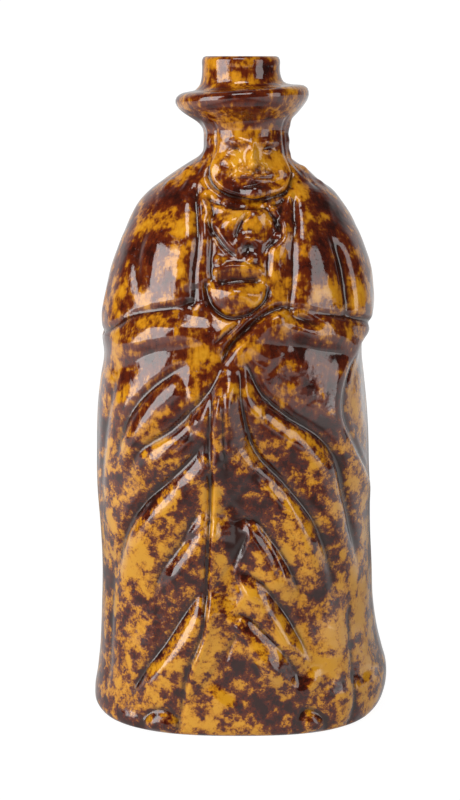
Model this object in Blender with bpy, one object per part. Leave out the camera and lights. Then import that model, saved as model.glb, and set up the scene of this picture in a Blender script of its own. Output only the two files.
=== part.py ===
"""Glazed pottery flask in the shape of a cloaked coachman in a wide-brimmed hat.

The flask is one hollow casting. It stands on its flat underside, and the mouth is in the top of
the hat. Metres, +Z up, the figure faces -Y, and the origin is the middle of the underside.
"""

import math

import bmesh
import bpy
import numpy as np

# Driving sizes, in metres
HEIGHT = 0.267
HALF_WIDTH = 0.060
HALF_DEPTH = 0.047
WALL = 0.0042
FLOOR = 0.0065
MOUTH_RADIUS = 0.0095
LIP_ROUND = 0.0012
RIM_WALL = 0.0060
CAVITY_CORNER = 0.0090

# How finely the form is worked, how many triangles are kept of it, and how much more care is
# taken of the face and chest than of the plainer parts when the others are left out
ROUND_STEPS = 200
FRONT_CLOSER = 0.5
BODY_RINGS = 180
HEAD_RINGS = 44
HAT_RINGS = 34
BORE_RINGS = 8
CAVITY_RINGS = 24
KEPT_TRIANGLES = 9600
FINE_CARE = 3e-6

# The plain form under the carving. Up is in percent of the height. Left and right are in percent
# of the half width, front and back in percent of the half depth, and the last is how square the
# level is, 2 being an ellipse.
FORM = [
    (0.0, 92.0, 88.5, 97.5, 92.0, 2.6),
    (0.35, 97.0, 92.0, 100.0, 95.5, 2.6),
    (1.2, 101.0, 96.5, 101.5, 98.5, 2.5),
    (2.8, 101.8, 100.0, 101.0, 99.0, 2.4),
    (5.4, 99.8, 101.0, 99.5, 97.0, 2.35),
    (8.0, 97.8, 98.0, 98.5, 95.0, 2.3),
    (11.0, 96.8, 94.6, 98.0, 93.0, 2.3),
    (16.0, 95.8, 91.0, 96.0, 91.0, 2.3),
    (22.5, 95.0, 89.5, 95.0, 89.0, 2.3),
    (29.0, 96.0, 88.0, 95.0, 88.0, 2.3),
    (35.0, 97.6, 88.0, 95.0, 87.5, 2.3),
    (41.6, 97.6, 87.5, 95.5, 87.0, 2.3),
    (48.0, 97.0, 86.0, 96.0, 86.0, 2.3),
    (52.0, 95.2, 84.0, 95.5, 85.0, 2.3),
    (55.5, 93.0, 82.3, 94.0, 84.5, 2.3),
    (58.5, 94.0, 83.5, 92.5, 84.5, 2.3),
    (61.0, 93.2, 87.2, 88.5, 84.0, 2.3),
    (63.0, 91.6, 88.2, 84.0, 83.5, 2.3),
    (65.5, 89.6, 88.2, 80.0, 83.0, 2.3),
    (68.5, 87.0, 87.2, 76.5, 82.5, 2.3),
    (71.5, 82.5, 83.0, 72.0, 80.5, 2.3),
    (74.2, 78.0, 78.6, 66.0, 77.5, 2.3),
    (76.4, 73.8, 74.0, 58.5, 73.5, 2.3),
    (78.5, 68.0, 67.5, 51.0, 68.0, 2.3),
    (80.1, 61.0, 61.5, 46.0, 62.0, 2.3),
    (81.6, 52.0, 52.0, 42.0, 55.5, 2.3),
    (83.1, 42.5, 44.5, 38.5, 48.5, 2.2),
    (84.3, 34.0, 36.0, 35.5, 42.0, 2.1),
    (85.3, 27.0, 29.5, 33.0, 37.0, 2.0),
    (86.3, 23.0, 27.0, 31.5, 34.5, 2.0),
    (87.5, 20.5, 25.5, 31.0, 33.5, 2.0),
    (88.6, 20.5, 25.5, 31.0, 33.5, 2.0),
]
# The brim and the foot of the crown, above the head, in the same percents
BRIM = [
    (89.5, 25.8, 32.0, 38.8, 40.0, 2.0),
    (90.4, 28.8, 33.8, 40.5, 41.5, 2.0),
    (91.3, 33.5, 38.2, 45.0, 45.8, 2.0),
    (92.2, 38.5, 42.0, 50.3, 50.8, 2.0),
    (93.1, 42.4, 44.6, 54.6, 55.0, 2.0),
    (93.9, 43.8, 45.2, 56.4, 56.6, 2.0),
    (94.6, 42.8, 44.4, 55.8, 56.0, 2.0),
    (95.05, 39.8, 42.0, 52.5, 52.6, 2.0),
    (95.25, 35.0, 37.5, 46.5, 46.5, 2.0),
    (95.4, 30.8, 33.0, 40.5, 40.5, 2.0),
]
# The head, which joins the body from the chin up to the brim, in the same percents
HEAD = [
    (76.0, 14.0, 20.0, 24.0, 24.0, 2.0),
    (78.0, 19.0, 25.0, 35.0, 32.0, 2.0),
    (79.2, 22.0, 28.0, 41.5, 36.0, 2.0),
    (80.4, 24.0, 30.5, 44.0, 38.0, 2.0),
    (82.0, 25.4, 32.0, 44.0, 39.5, 2.0),
    (84.5, 25.4, 32.0, 42.5, 40.0, 2.0),
    (86.5, 25.0, 31.8, 41.0, 40.0, 2.0),
    (88.6, 25.0, 31.6, 39.3, 39.8, 2.0),
    (89.5, 25.8, 32.0, 38.8, 40.0, 2.0),
]
HEAD_FOOT = 78.5
HEAD_JOIN = 3.0
BRIM_TILT = 0.065
CROWN_EDGE = 0.0016

# Depths and widths of the carving are in this unit, a millimetre on a flask of the drawn depth.
CUT = HALF_DEPTH / 47

# Soft lines in the surface. Each has the side of its swell, 1 for the right of the way the line
# runs and -1 for the left, the depth and width of the crease, the height and width of the swell,
# the height and width of the rise across the crease, and how much of the line fades in and out.
# Then come its spots, in degrees round from the front and percent of the height.
LAYERS = [
    # The cape's lower edge, from the left of the chest round the back to the right of the chest
    ((1, 1.7, 1.4, 1.5, 4.8, -0.9, 5, 0, 0),
     [(-15, 65), (-30, 63.8), (-46, 62.6), (-60, 60.4), (-80, 59)]),
    ((1, 1.2, 1.5, 1.0, 4.8, -0.6, 5, 0, 0),
     [(-80, 59), (-130, 59.6), (-180, 61), (-230, 60), (-268, 59.2)]),
    ((-1, 1.9, 1.4, 1.4, 4.8, -0.9, 5, 0, 0),
     [(20, 64), (35, 62.9), (52, 62), (68, 61), (92, 59.2)]),
    # The cape's rolled front edges, from the neck down
    ((1, 1.7, 1.1, 2.3, 2.5, -0.5, 3.5, 0.2, 0),
     [(-34, 82.5), (-26, 79.5), (-21, 75), (-20, 70), (-19, 64.5)]),
    ((-1, 1.9, 1.1, 2.3, 2.4, -0.6, 3.5, 0.25, 0),
     [(37, 82), (29, 78.5), (25, 74.5), (22.5, 69.5), (21, 63.8)]),
    # The coat's lapels inside the cape
    ((1, 1.5, 0.9, 1.5, 2.2, -0.5, 3, 0.1, 0.1),
     [(-21, 80.5), (-15, 78), (-14, 74), (-13, 69.5), (-12, 66.5)]),
    ((-1, 1.5, 0.9, 1.4, 3.0, -0.5, 3, 0.1, 0.2),
     [(27.5, 81), (21.5, 77.8), (16, 74.6), (11.5, 70.3), (11.5, 66.8)]),
    # The right half of the cloak lapping over the left at the gather, and the roll beside it
    ((-1, 2.3, 1.2, 2.5, 3.4, 0.8, 3, 0.15, 0.3),
     [(21, 64.2), (15, 63.8), (8, 62.4), (2, 60.2), (-2, 58), (-5, 54.9)]),
    ((-1, 0.9, 1.0, 0.6, 2.0, 0.9, 2.4, 0.25, 0.25),
     [(3, 62.6), (-3.5, 60.4), (-8, 58.6)]),
    # The cloak's back edge under the right elbow, over the layer behind
    ((1, 2.0, 1.5, 2.2, 3.6, -1.6, 5, 0.1, 0.3),
     [(86, 58.5), (68, 56.5), (52, 51.5), (50, 48.5), (60, 42), (92, 34)]),
]
FOLDS = [
    # The seam down the front, and the narrow crease beside it
    ((-1, 1.5, 1.1, 1.7, 2.7, 0.4, 3, 0.1, 0.1),
     [(-7, 54), (-9, 46), (-9, 38), (-12, 24), (-14, 16), (-21, 9), (-23, 1)]),
    ((1, 0.8, 1.0, 0.9, 2.0, 0.9, 2.2, 0.3, 0.4),
     [(-3, 54.5), (-3.5, 50), (-3.5, 44), (-1.5, 38)]),
    # Folds running down to the left from the gather
    ((-1, 1.8, 1.4, 3.1, 4.4, 0.4, 4, 0.2, 0.3),
     [(-17, 56.4), (-28, 54), (-38, 50.8), (-47, 46), (-55, 39)]),
    ((-1, 2.3, 1.5, 3.6, 4.4, 0.8, 4, 0.35, 0.3),
     [(-2.5, 59), (-8, 53), (-16, 49.4), (-25, 46.2), (-36, 43.6), (-47, 38)]),
    ((-1, 2.1, 1.5, 3.4, 4.4, 0.7, 4, 0.2, 0.35),
     [(-9, 47.5), (-15, 43), (-25, 39), (-36, 35.4), (-48, 30), (-58, 20)]),
    ((-1, 1.6, 1.4, 3.0, 4.0, 0.5, 4, 0.25, 0.35),
     [(-11, 36), (-16, 33.2), (-22, 29.4), (-30, 25.4), (-37, 19)]),
    ((-1, 1.8, 1.4, 3.2, 4.2, 0.4, 4, 0.2, 0.25),
     [(-12.5, 23.7), (-20.5, 19.2), (-29.5, 13.9), (-39.5, 9), (-45.5, 3.7)]),
    # Folds running down to the right
    ((1, 2.2, 1.5, 3.5, 4.5, 0.6, 5, 0.15, 0.35),
     [(3.5, 59), (7, 55.3), (12.5, 51.5), (21.5, 48.6), (36.5, 44.6), (43, 41.5), (48, 36)]
     + [(64, 20)]),
    ((1, 2.1, 1.4, 3.5, 4.0, 0.6, 4, 0.15, 0.3),
     [(3, 57.4), (4, 50), (9, 43.4), (20, 38.6), (32, 32.6), (39, 26), (41, 17)]),
    ((1, 1.4, 1.4, 3.3, 3.8, 0.3, 4, 0.15, 0.3),
     [(-1, 32.6), (7, 33.2), (15, 30), (21, 26.2), (27, 20)]),
    ((1, 1.5, 1.4, 3.1, 4.0, 0.3, 4, 0.25, 0.3),
     [(-1, 26), (8, 24.2), (17, 20.2), (24, 15.8), (30, 10)]),
    ((1, 1.2, 1.3, 2.9, 3.8, 0.3, 4, 0.2, 0.3),
     [(-6, 18.6), (3, 18.6), (11, 16), (19, 12.2), (25, 7.6)]),
    # The rounded end of the leaf between the last folds, and the low ridge beside it
    ((1, -1.8, 2.6, 0, 3, 0, 3, 0.3, 0.15),
     [(1, 14.8), (8.5, 12.1), (15.5, 9), (23, 6.8), (27.5, 8.1), (28.5, 10.4)]),
    ((1, -1.3, 2.6, 0, 3, 0, 3, 0.4, 0.4),
     [(-13, 8.1), (-8.5, 5.5), (-1, 3.3)]),
    # The edge of the plain panel at the right of the hem
    ((1, 2.0, 1.5, 1.5, 4.4, -1.0, 5, 0.4, 0),
     [(55, 23), (50.5, 16.1), (49.5, 11.2), (47, 7.3), (46, 0.8)]),
    # The creases under the sleeves, and those in the cape
    ((-1, 0.5, 2.6, 0.3, 5.0, 1.3, 6.0, 0.3, 0.2),
     [(4.5, 59.4), (15, 58.8), (29, 58.3), (43.5, 57.4), (60, 56.5)]),
    ((-1, 0.4, 2.6, 0.2, 5.0, 0.9, 6.0, 0.3, 0.3),
     [(-48, 55.8), (-36, 57.4), (-22, 58.2), (-9, 59.2)]),
    ((-1, 1.9, 1.7, 1.9, 4.4, 0.4, 5, 0.4, 0),
     [(42, 76), (45.5, 71.2), (46, 67.7), (48.5, 62.8)]),
    ((1, 1.0, 3.2, 0.4, 5.0, 0.4, 5, 0.4, 0.2),
     [(-49, 76.5), (-51, 72.1), (-48, 68.6), (-43, 65)]),
    # Long drops at the left of the cloak
    ((-1, 0.9, 2, 1.2, 4.8, 0.4, 5, 0.3, 0.3),
     [(-54, 58), (-60, 48), (-68, 38), (-70, 26)]),
    ((-1, 0.9, 2, 1.3, 4.8, 0.4, 5, 0.4, 0.2),
     [(-60, 30), (-62, 16), (-62, 3)]),
]
# Drops of the cloak round the sides and the back: degrees round, top and foot in percent, depth
DROPS = [
    (-88, 56, 3, 1.0),
    (-112, 55, 2, 1.3),
    (-136, 57, 3, 1.2),
    (-160, 58, 2, 1.5),
    (-181, 59, 2, 1.7),
    (-204, 58, 3, 1.4),
    (-228, 56, 2, 1.2),
    (-252, 42, 3, 1.2),
]

# Rounded knobs and hollows: degrees round and percent up of the middle, half width, half height,
# height, and lean in degrees
MASSES = [
    # The mug, the knots of the neckcloth and the chest under it
    (-1, 66.0, 8.6, 5.0, 3.0, 0),
    (-5, 76.0, 4.6, 3.8, 2.1, 25),
    (6.5, 76.6, 5.2, 4.2, 2.1, -20),
    (3.5, 73.4, 3.6, 2.8, 1.5, 0),
    # The forearms under the cloak
    (-22, 60.6, 13.0, 5.4, 2.0, 4),
    (-44, 58.9, 13.0, 5.0, 1.8, 18),
    (26, 61.0, 13.0, 4.6, 2.0, -6),
    (46, 59.6, 12.0, 4.6, 1.6, -10),
    # The swell of the left of the cape and the pocket under the right
    (-37, 71.0, 9.0, 13.0, 1.7, 6),
    (34, 70.5, 8.0, 13.0, 1.4, -4),
    (28, 62.0, 5.5, 2.0, -2.1, -6),
    # The neck under the chin
    (6, 79.0, 10.0, 2.4, -1.6, 0),
    # The hollow between the cloak's back edge and the layer behind
    (78, 48.5, 8.0, 11.0, -1.0, 0),
    # The plain panel at the right of the hem
    (70, 10, 10.0, 15.0, -0.9, 0),
]
DETAILS = [
    # Collar points, with the dip between them, and the dark under the knot
    (-8, 78.6, 3.0, 2.2, 1.7, 35),
    (15, 78.6, 2.8, 2.2, 1.6, -35),
    (2, 78.2, 3.0, 0.9, -0.8, 0),
    (3, 72.9, 2.4, 2.6, -1.7, 0),
    # The ruffled edge of the neckcloth
    (11.5, 77.2, 1.5, 0.8, 0.9, -30),
    (14, 76.2, 1.5, 0.8, 0.9, -25),
    (15.5, 75.2, 1.5, 0.8, 0.9, -15),
    (16, 74.2, 1.5, 0.8, 0.8, 0),
    # Buttons over the mug, and the knuckles at its foot
    (-10, 70.5, 1.8, 1.5, 1.3, 0),
    (4.5, 70.9, 1.6, 1.3, 1.2, 0),
    (-16, 64.6, 2.4, 2.3, 1.6, 0),
    (3.5, 62.6, 1.7, 1.2, 0.9, 0),
]
STROKES = [
    # The rim of the mug, the dark of its mouth and the outline of its body
    ((1, -1.6, 1.1, 0, 1, 0, 1, 0.1, 0.1),
     [(-12.5, 68.8), (-7, 69.7), (0.5, 69.8), (10, 69.2)]),
    ((1, 2.0, 0.9, 0.5, 1.2, 0.4, 1.2, 0.1, 0.1),
     [(-10.5, 67.6), (-0.5, 68.1), (9, 67.8)]),
    ((-1, 2.2, 1.0, 1.2, 2.6, 0, 1.5, 0.1, 0.1),
     [(-14.5, 68.4), (-14, 66), (-10.5, 64), (-3.5, 62.7), (4.5, 63.1), (10.5, 65), (12, 67.6)]),
    # The folds of the neckcloth
    ((-1, 1.5, 0.9, 1.7, 1.8, 0, 1.4, 0.15, 0.15),
     [(-16.5, 77), (-15, 75.6), (-11, 74), (-6, 72.3), (-1, 71.2)]),
    ((1, 1.2, 0.8, 1.1, 1.6, 0, 1.4, 0.2, 0.2),
     [(5, 77.4), (-0.5, 75.6), (-3.5, 73.6)]),
    ((-1, 1.3, 0.9, 1.0, 2.0, 0, 1.4, 0.1, 0.2),
     [(13, 78.2), (18, 76.4), (18.5, 74), (12, 72.6), (9, 71)]),
    # The line of the jaw, and the collar's edge under it
    ((-1, 1.7, 1.0, 1.2, 2.6, 0.0, 3, 0.2, 0.2),
     [(-41, 87.5), (-35, 84.6), (-23, 82), (-8, 80), (8, 79.3)]
     + [(24, 80), (39, 82), (51, 84.6), (57, 87.5)]),
    ((1, 1.1, 0.8, 0.9, 1.4, 0, 1, 0.15, 0.15),
     [(-19, 79.6), (-8, 78.2), (4, 77.8), (16, 78.2), (27, 79.6)]),
    # The beaded edge of the right of the cape
    ((1, -0.7, 0.8, 0, 1, 0, 1, 0.1, 0),
     [(25.8, 76.5), (24.6, 73.5), (23.4, 69), (22.2, 64.4)]),
]

# The head: how far it is turned to the figure's left, the eye line and the chin in percent of the
# height, and the face's forms in shares of the distance between those two. Each form has how far
# across from the middle and how far up from the eye line it is, its half width and half height,
# and how far it stands out. Forms away from the middle are on both sides.
FACE_TURN = 8
EYE_LINE = 86.3
CHIN = 79.8
FACE = [
    (0.00, -0.66, 0.44, 0.30, 0.060),
    (0.00, -0.95, 0.26, 0.14, 0.100),
    (0.47, -0.34, 0.24, 0.22, 0.070),
    (0.33, 0.01, 0.20, 0.13, -0.075),
    (0.30, 0.20, 0.28, 0.08, 0.035),
    (0.00, 0.03, 0.08, 0.20, 0.050),
    (0.00, -0.17, 0.09, 0.16, 0.110),
    (0.00, -0.35, 0.11, 0.10, 0.135),
    (0.11, -0.41, 0.055, 0.055, 0.045),
]
FACE_DETAILS = [
    (0.33, 0.00, 0.12, 0.07, 0.085),
    (0.33, -0.02, 0.11, 0.02, -0.030),
    (0.00, -0.61, 0.17, 0.045, 0.045),
    (0.00, -0.675, 0.19, 0.022, -0.055),
    (0.00, -0.74, 0.14, 0.050, 0.050),
    (0.00, -0.83, 0.13, 0.040, -0.035),
]
HAIR_AT = 66


def soft(value):
    """Rises smoothly from 0 to 1 as the value does."""
    value = np.clip(value, 0, 1)
    return value * value * (3 - 2 * value)


def hill(value):
    """A rounded hill, 1 at 0 and almost gone at 2."""
    return np.exp(-value * value)


def swell(value):
    """Nothing up to 0, steeply up to about 1 at a half, then slowly down again."""
    value = np.maximum(value, 0)
    return 1.55 * (1 - np.exp(-(value / 0.30) ** 2)) * np.exp(-0.8 * value)


def smooth_through(knots, at, along):
    """Values at the places `at` of a smooth curve through the knots, whose places are `along`."""
    slope = np.gradient(knots, along, axis=0)
    i = np.clip(np.searchsorted(along, at, side="right") - 1, 0, len(along) - 2)
    step = along[i + 1] - along[i]
    f = ((at - along[i]) / step)[:, None]
    start, end = knots[i], knots[i + 1]
    leave, arrive = slope[i] * step[:, None], slope[i + 1] * step[:, None]
    return (
        (2 * f**3 - 3 * f**2 + 1) * start
        + (f**3 - 2 * f**2 + f) * leave
        + (3 * f**2 - 2 * f**3) * end
        + (f**3 - f**2) * arrive
    )


def run_of(levels):
    """Distance run along the outline at each level, the outline being drawn at the mean radius."""
    radius = levels[:, 1:5].mean(axis=1)
    return np.concatenate([[0], np.cumsum(np.hypot(np.diff(radius), np.diff(levels[:, 0])))])


def in_metres(rows):
    """Levels as height, left, right, front and back in metres, and how square they are."""
    scale = [HEIGHT / 100, HALF_WIDTH / 100, HALF_WIDTH / 100, HALF_DEPTH / 100, HALF_DEPTH / 100, 1]
    return np.array(rows) * scale


def round_level(up, radius):
    return [up, radius, radius, radius, radius, 2.0]


def crown_levels():
    """The hat's crown, which is also the rim of the mouth, from its flared foot to its flat top."""
    radius = MOUTH_RADIUS + RIM_WALL
    foot = BRIM[-1][0] / 100 * HEIGHT
    crown = HEIGHT - foot
    rows = [
        round_level(foot + 0.05 * crown, radius + 0.0022),
        round_level(foot + 0.16 * crown, radius + 0.0010),
        round_level(foot + 0.34 * crown, radius + 0.0003),
        round_level(foot + 0.62 * crown, radius),
    ]
    for turn in (10, 35, 60, 90):
        bend = math.radians(turn)
        up = HEIGHT - CROWN_EDGE + CROWN_EDGE * math.sin(bend)
        rows.append(round_level(up, radius - CROWN_EDGE + CROWN_EDGE * math.cos(bend)))
    return rows


def outside_levels():
    """The levels of the outside, close together, from the foot to the edge of the flat top."""
    knots = np.vstack([in_metres(FORM), in_metres(BRIM), crown_levels()])
    run = run_of(knots)
    head = run[[row[0] for row in FORM].index(HEAD_FOOT)]
    brim = run[len(FORM) - 1]
    places = np.concatenate(
        [
            np.linspace(0, head, BODY_RINGS, endpoint=False),
            np.linspace(head, brim, HEAD_RINGS, endpoint=False),
            np.linspace(brim, run[-1], HAT_RINGS),
        ]
    )
    levels = smooth_through(knots, places, run)
    levels[0, 0] = 0
    levels[-1, 0] = HEIGHT
    return levels


def place(level, turn):
    """Points on levels, `turn` round from the front towards the figure's left."""
    left, right, front, back, square = (level[..., k] for k in range(1, 6))
    across, deep = (left + right) / 2, (front + back) / 2
    x, y = np.sin(turn), -np.cos(turn)
    size = (np.abs(x) ** square + np.abs(y) ** square) ** (-1 / square)
    parts = ((right - left) / 2 + across * size * x, (back - front) / 2 + deep * size * y, level[..., 0])
    return np.stack(np.broadcast_arrays(*parts), axis=-1)


def with_head(points):
    """Points of the body, moved out to the head where it stands out further."""
    head = level_at(in_metres(HEAD), points[..., 2])
    middle = np.stack([(head[..., 2] - head[..., 1]) / 2, (head[..., 4] - head[..., 3]) / 2], axis=-1)
    halves = np.stack([(head[..., 1] + head[..., 2]) / 2, (head[..., 3] + head[..., 4]) / 2], axis=-1)
    radius = np.linalg.norm(points[..., :2], axis=-1)
    toward = points[..., :2] / radius[..., None] / halves
    offset = -middle / halves
    a = (toward**2).sum(axis=-1)
    b = (toward * offset).sum(axis=-1)
    c = (offset**2).sum(axis=-1) - 1
    reach = (np.sqrt(np.maximum(b * b - a * c, 0)) - b) / a
    up = points[..., 2] / HEIGHT * 100
    round_off = HEAD_JOIN * CUT * (1 - soft((up - 83.5) / 4))
    joined = (reach + radius + np.sqrt((reach - radius) ** 2 + round_off**2)) / 2
    share = soft((up - HEAD[0][0]) / 3) * (1 - soft((up - HEAD[-1][0]) / 0.8))
    moved = points.copy()
    moved[..., :2] *= (1 + (joined / radius - 1) * share)[..., None]
    return moved


def level_at(levels, up):
    """The levels at heights given in metres."""
    return np.stack([np.interp(up, levels[:, 0], levels[:, k]) for k in range(6)], axis=-1)


def unit(vectors):
    return vectors / np.linalg.norm(vectors, axis=-1, keepdims=True)


class Skin:
    """The outside as a net of points, rings from the foot to the mouth and steps round each ring."""

    def __init__(self, levels, steps):
        self.levels = levels
        even = np.arange(steps) * 2 * math.pi / steps
        self.turn = even - FRONT_CLOSER * np.sin(even)
        self.plain = with_head(place(levels[:, None, :], self.turn[None, :]))
        self.points = self.plain.copy()

    def normals(self):
        along = np.roll(self.points, -1, axis=1) - np.roll(self.points, 1, axis=1)
        return unit(np.cross(along, np.gradient(self.points, axis=0)))

    def push(self, height):
        """Moves the surface out by the heights, but not the flat underside nor the crown."""
        height = (np.roll(height, 1, axis=1) + 2 * height + np.roll(height, -1, axis=1)) / 4
        height[1:-1] = (height[:-2] + 2 * height[1:-1] + height[2:]) / 4
        up = self.plain[..., 2] / HEIGHT * 100
        kept = soft((up - 0.05) / 1.1) * (1 - soft((up - 93.5) / 1.5))
        move = self.normals() * (height * kept)[..., None]
        move[..., 2] *= soft((up - 1) / 2)
        self.points += move

    def spot(self, turn, up):
        """Points of the plain form at degrees round from the front and percent of the height."""
        return with_head(place(level_at(self.levels, np.asarray(up) / 100 * HEIGHT), np.radians(turn)))

    def frame(self, turn, up):
        """A spot, and the directions across and up the surface there."""
        across = self.spot(turn + 1, up) - self.spot(turn - 1, up)
        rise = self.spot(turn, up + 0.4) - self.spot(turn, up - 0.4)
        return self.spot(turn, up), unit(across), unit(rise)

    def knob(self, turn, up, wide, tall, height, lean=0.0):
        """Heights of one rounded knob, or hollow where its height is below 0."""
        here, across, rise = self.frame(turn, up)
        away = self.plain - here
        x, y = away @ across, away @ rise
        bend = math.radians(lean)
        u = (x * math.cos(bend) + y * math.sin(bend)) / wide
        v = (y * math.cos(bend) - x * math.sin(bend)) / tall
        near = np.linalg.norm(away, axis=-1) < 3.5 * max(wide, tall)
        return np.where(near, height * hill(u) * hill(v), 0)

    def stroke(self, shape, spots):
        """Heights of one line: a crease, the swell on one side of it and the rise on the other."""
        side, crease, width, lift, spread, far, far_spread, lead, tail = shape
        crease, width, lift, spread = crease * CUT, width * CUT, lift * CUT, spread * CUT
        far, far_spread = far * CUT, far_spread * CUT
        spots = np.array(spots, float)
        step = np.diff(spots, axis=0) * [0.9, 2.67]
        along = np.concatenate([[0], np.cumsum(np.hypot(step[:, 0], step[:, 1]))])
        drawn = smooth_through(spots, np.linspace(0, along[-1], 70), along)
        line = self.spot(drawn[:, 0], drawn[:, 1])
        ahead = np.gradient(line, axis=0)
        length = np.linalg.norm(ahead, axis=1)
        across = self.spot(drawn[:, 0] + 1, drawn[:, 1]) - line
        rise = self.spot(drawn[:, 0], drawn[:, 1] + 0.4) - line
        ahead = unit(ahead)
        beside = np.cross(ahead, unit(np.cross(across, rise))) * side
        reach = 5 * max(spread, far_spread, width)
        low, high = line.min(axis=0) - reach, line.max(axis=0) + reach
        near = np.all((self.plain > low) & (self.plain < high), axis=-1)
        away = self.plain[near][:, None, :] - line[None, :, :]
        closest = np.argmin((away**2).sum(axis=-1), axis=1)
        away = away[np.arange(len(away)), closest]
        onward = (away * ahead[closest]).sum(axis=1)
        aside = (away * beside[closest]).sum(axis=1)
        share = (closest + onward / length[closest]) / (len(line) - 1)
        past = np.maximum(np.maximum(share - 1, -share), 0) * (len(line) - 1) * length.mean()
        fade = hill(past / (1.2 * width))
        if lead:
            fade = fade * soft(share / lead)
        if tail:
            fade = fade * soft((1 - share) / tail)
        height = lift * swell(aside / spread) + far * swell(-aside / far_spread)
        height = height - crease * hill(aside / width)
        heights = np.zeros(near.shape)
        heights[near] = np.where(np.linalg.norm(away, axis=1) < reach, height * fade, 0)
        return heights

    def carve_lines(self, rows):
        self.push(sum(self.stroke(shape, spots) for shape, spots in rows))

    def carve_knobs(self, rows):
        heights = 0
        for turn, up, wide, tall, height, lean in rows:
            heights = heights + self.knob(turn, up, wide * CUT, tall * CUT, height * CUT, lean)
        self.push(heights)

    def carve_face(self, rows):
        face = (EYE_LINE - CHIN) / 100 * HEIGHT
        head = level_at(self.levels, EYE_LINE / 100 * HEIGHT)[1:5].mean()
        heights = 0
        for across, up, wide, tall, height in rows:
            for side in (-1, 1) if across else (1,):
                turn = FACE_TURN + side * math.degrees(across * face / head)
                middle = EYE_LINE + up * (EYE_LINE - CHIN)
                heights = heights + self.knob(turn, middle, wide * face, tall * face, height * face)
        self.push(heights)

    def carve_hair(self):
        heights = 0
        for side in (-1, 1):
            at = FACE_TURN + side * HAIR_AT
            for k in range(5):
                up = EYE_LINE + 3.4 - k * 2.1
                heights = heights + self.knob(at, up, 1.7 * CUT, 2.6 * CUT, 0.9 * CUT, side * 12)
                heights = heights + self.knob(at - side * 16, up, 0.8 * CUT, 3.0 * CUT, -0.5 * CUT)
        self.push(heights)

    def carve_shoes(self):
        """Two toes under the hem, each a rounded cap with a groove over it."""
        heights = 0
        for at, wide, tall in ((-30, 6.2, 5.0), (29, 4.8, 4.8)):
            here, across, rise = self.frame(at, 1.3)
            away = self.plain - here
            span = np.hypot(away @ across / (wide * CUT), away @ rise / (tall * CUT))
            near = np.linalg.norm(away, axis=-1) < 15 * CUT
            cap = 1.3 * (1 - soft((span - 0.55) / 0.5)) - 1.2 * hill((span - 1.28) / 0.22)
            heights = heights + np.where(near, cap * CUT, 0)
        self.push(heights)

    def tilt_brim(self):
        """Lifts the brim at the figure's left and drops it at the right."""
        up = self.plain[..., 2] / HEIGHT * 100
        share = soft((up - 88.5) / 4) * (1 - soft((up - 96) / 3))
        self.points[..., 2] += self.points[..., 0] * BRIM_TILT * share

    def carve(self):
        self.carve_knobs(MASSES)
        self.carve_face(FACE)
        self.carve_lines(LAYERS)
        self.carve_lines(FOLDS)
        for at, top, foot, depth in DROPS:
            shape = (1, depth, 2.2, depth * 0.8, 4.5, depth * 0.8, 4.5, 0.35, 0.1)
            self.carve_lines([(shape, [(at, top), (at + 1, (top + foot) / 2), (at, foot)])])
        self.carve_knobs(DETAILS)
        self.carve_lines(STROKES)
        self.carve_hair()
        self.carve_face(FACE_DETAILS)
        self.carve_shoes()
        self.tilt_brim()


class Hollow:
    """The inside, which follows the deepest of the carving at the thickness of the wall."""

    def __init__(self, skin):
        self.skin = skin
        plain = np.linalg.norm(skin.plain[..., :2], axis=-1)
        carved = np.linalg.norm(skin.points[..., :2], axis=-1)
        reach = max(1, round(len(skin.turn) * 0.025))
        least = np.min([np.roll(carved, k, axis=1) for k in range(-reach, reach + 1)], axis=0)
        weights = np.hanning(4 * reach + 3)[1:-1]
        weights /= weights.sum()
        half = len(weights) // 2
        share = np.minimum(least / plain, 1)
        self.share = sum(weight * np.roll(share, k - half, axis=1) for k, weight in enumerate(weights))
        heights = skin.levels[:, 0] + np.arange(len(skin.levels)) * 1e-9
        slope = np.gradient(skin.levels[:, 1:5].mean(axis=1), heights)
        self.thick = WALL * np.sqrt(1 + np.clip(slope, -3, 3) ** 2)

    def ring(self, up, inset=0.0, shrink=1.0):
        """The ring of the cavity at a height, drawn in by the inset and then shrunk."""
        levels = self.skin.levels
        centre = np.array([0, 0, up])
        out = with_head(place(level_at(levels, up), self.skin.turn)) - centre
        radius = np.linalg.norm(out, axis=-1)
        nearby = self.share[np.abs(levels[:, 0] - up) < 0.012 * HEIGHT].min(axis=0)
        wall = np.interp(up, levels[:, 0], self.thick)
        want = (np.maximum(radius * nearby - wall, MOUTH_RADIUS) - inset) * shrink
        return centre + out / radius[:, None] * want[:, None]

    def rings(self):
        """From the lip down the bore and the cavity to the middle of the floor."""
        turn = self.skin.turn
        rings = []
        for angle in (0, 30, 60, 90):
            bend = math.radians(angle)
            up = HEIGHT - LIP_ROUND + LIP_ROUND * math.cos(bend)
            radius = MOUTH_RADIUS + LIP_ROUND - LIP_ROUND * math.sin(bend)
            rings.append(place(np.array(round_level(up, radius)), turn))
        top = HEIGHT - LIP_ROUND
        foot = BRIM[1][0] / 100 * HEIGHT
        for share in np.linspace(0, 1, BORE_RINGS)[1:]:
            rings.append(place(np.array(round_level(top + (foot - top) * share, MOUTH_RADIUS)), turn))
        low = FLOOR + CAVITY_CORNER
        for up in np.linspace(FORM[-1][0] / 100 * HEIGHT, low, CAVITY_RINGS):
            rings.append(self.ring(up))
        for angle in (25, 50, 75, 90):
            bend = math.radians(angle)
            ring = self.ring(low, CAVITY_CORNER * (1 - math.cos(bend)))
            ring[:, 2] = low - CAVITY_CORNER * math.sin(bend)
            rings.append(ring)
        for shrink in (0.6, 0.25, 0.0):
            ring = self.ring(low, CAVITY_CORNER, shrink)
            ring[:, 2] = FLOOR
            rings.append(ring)
        return rings


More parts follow.
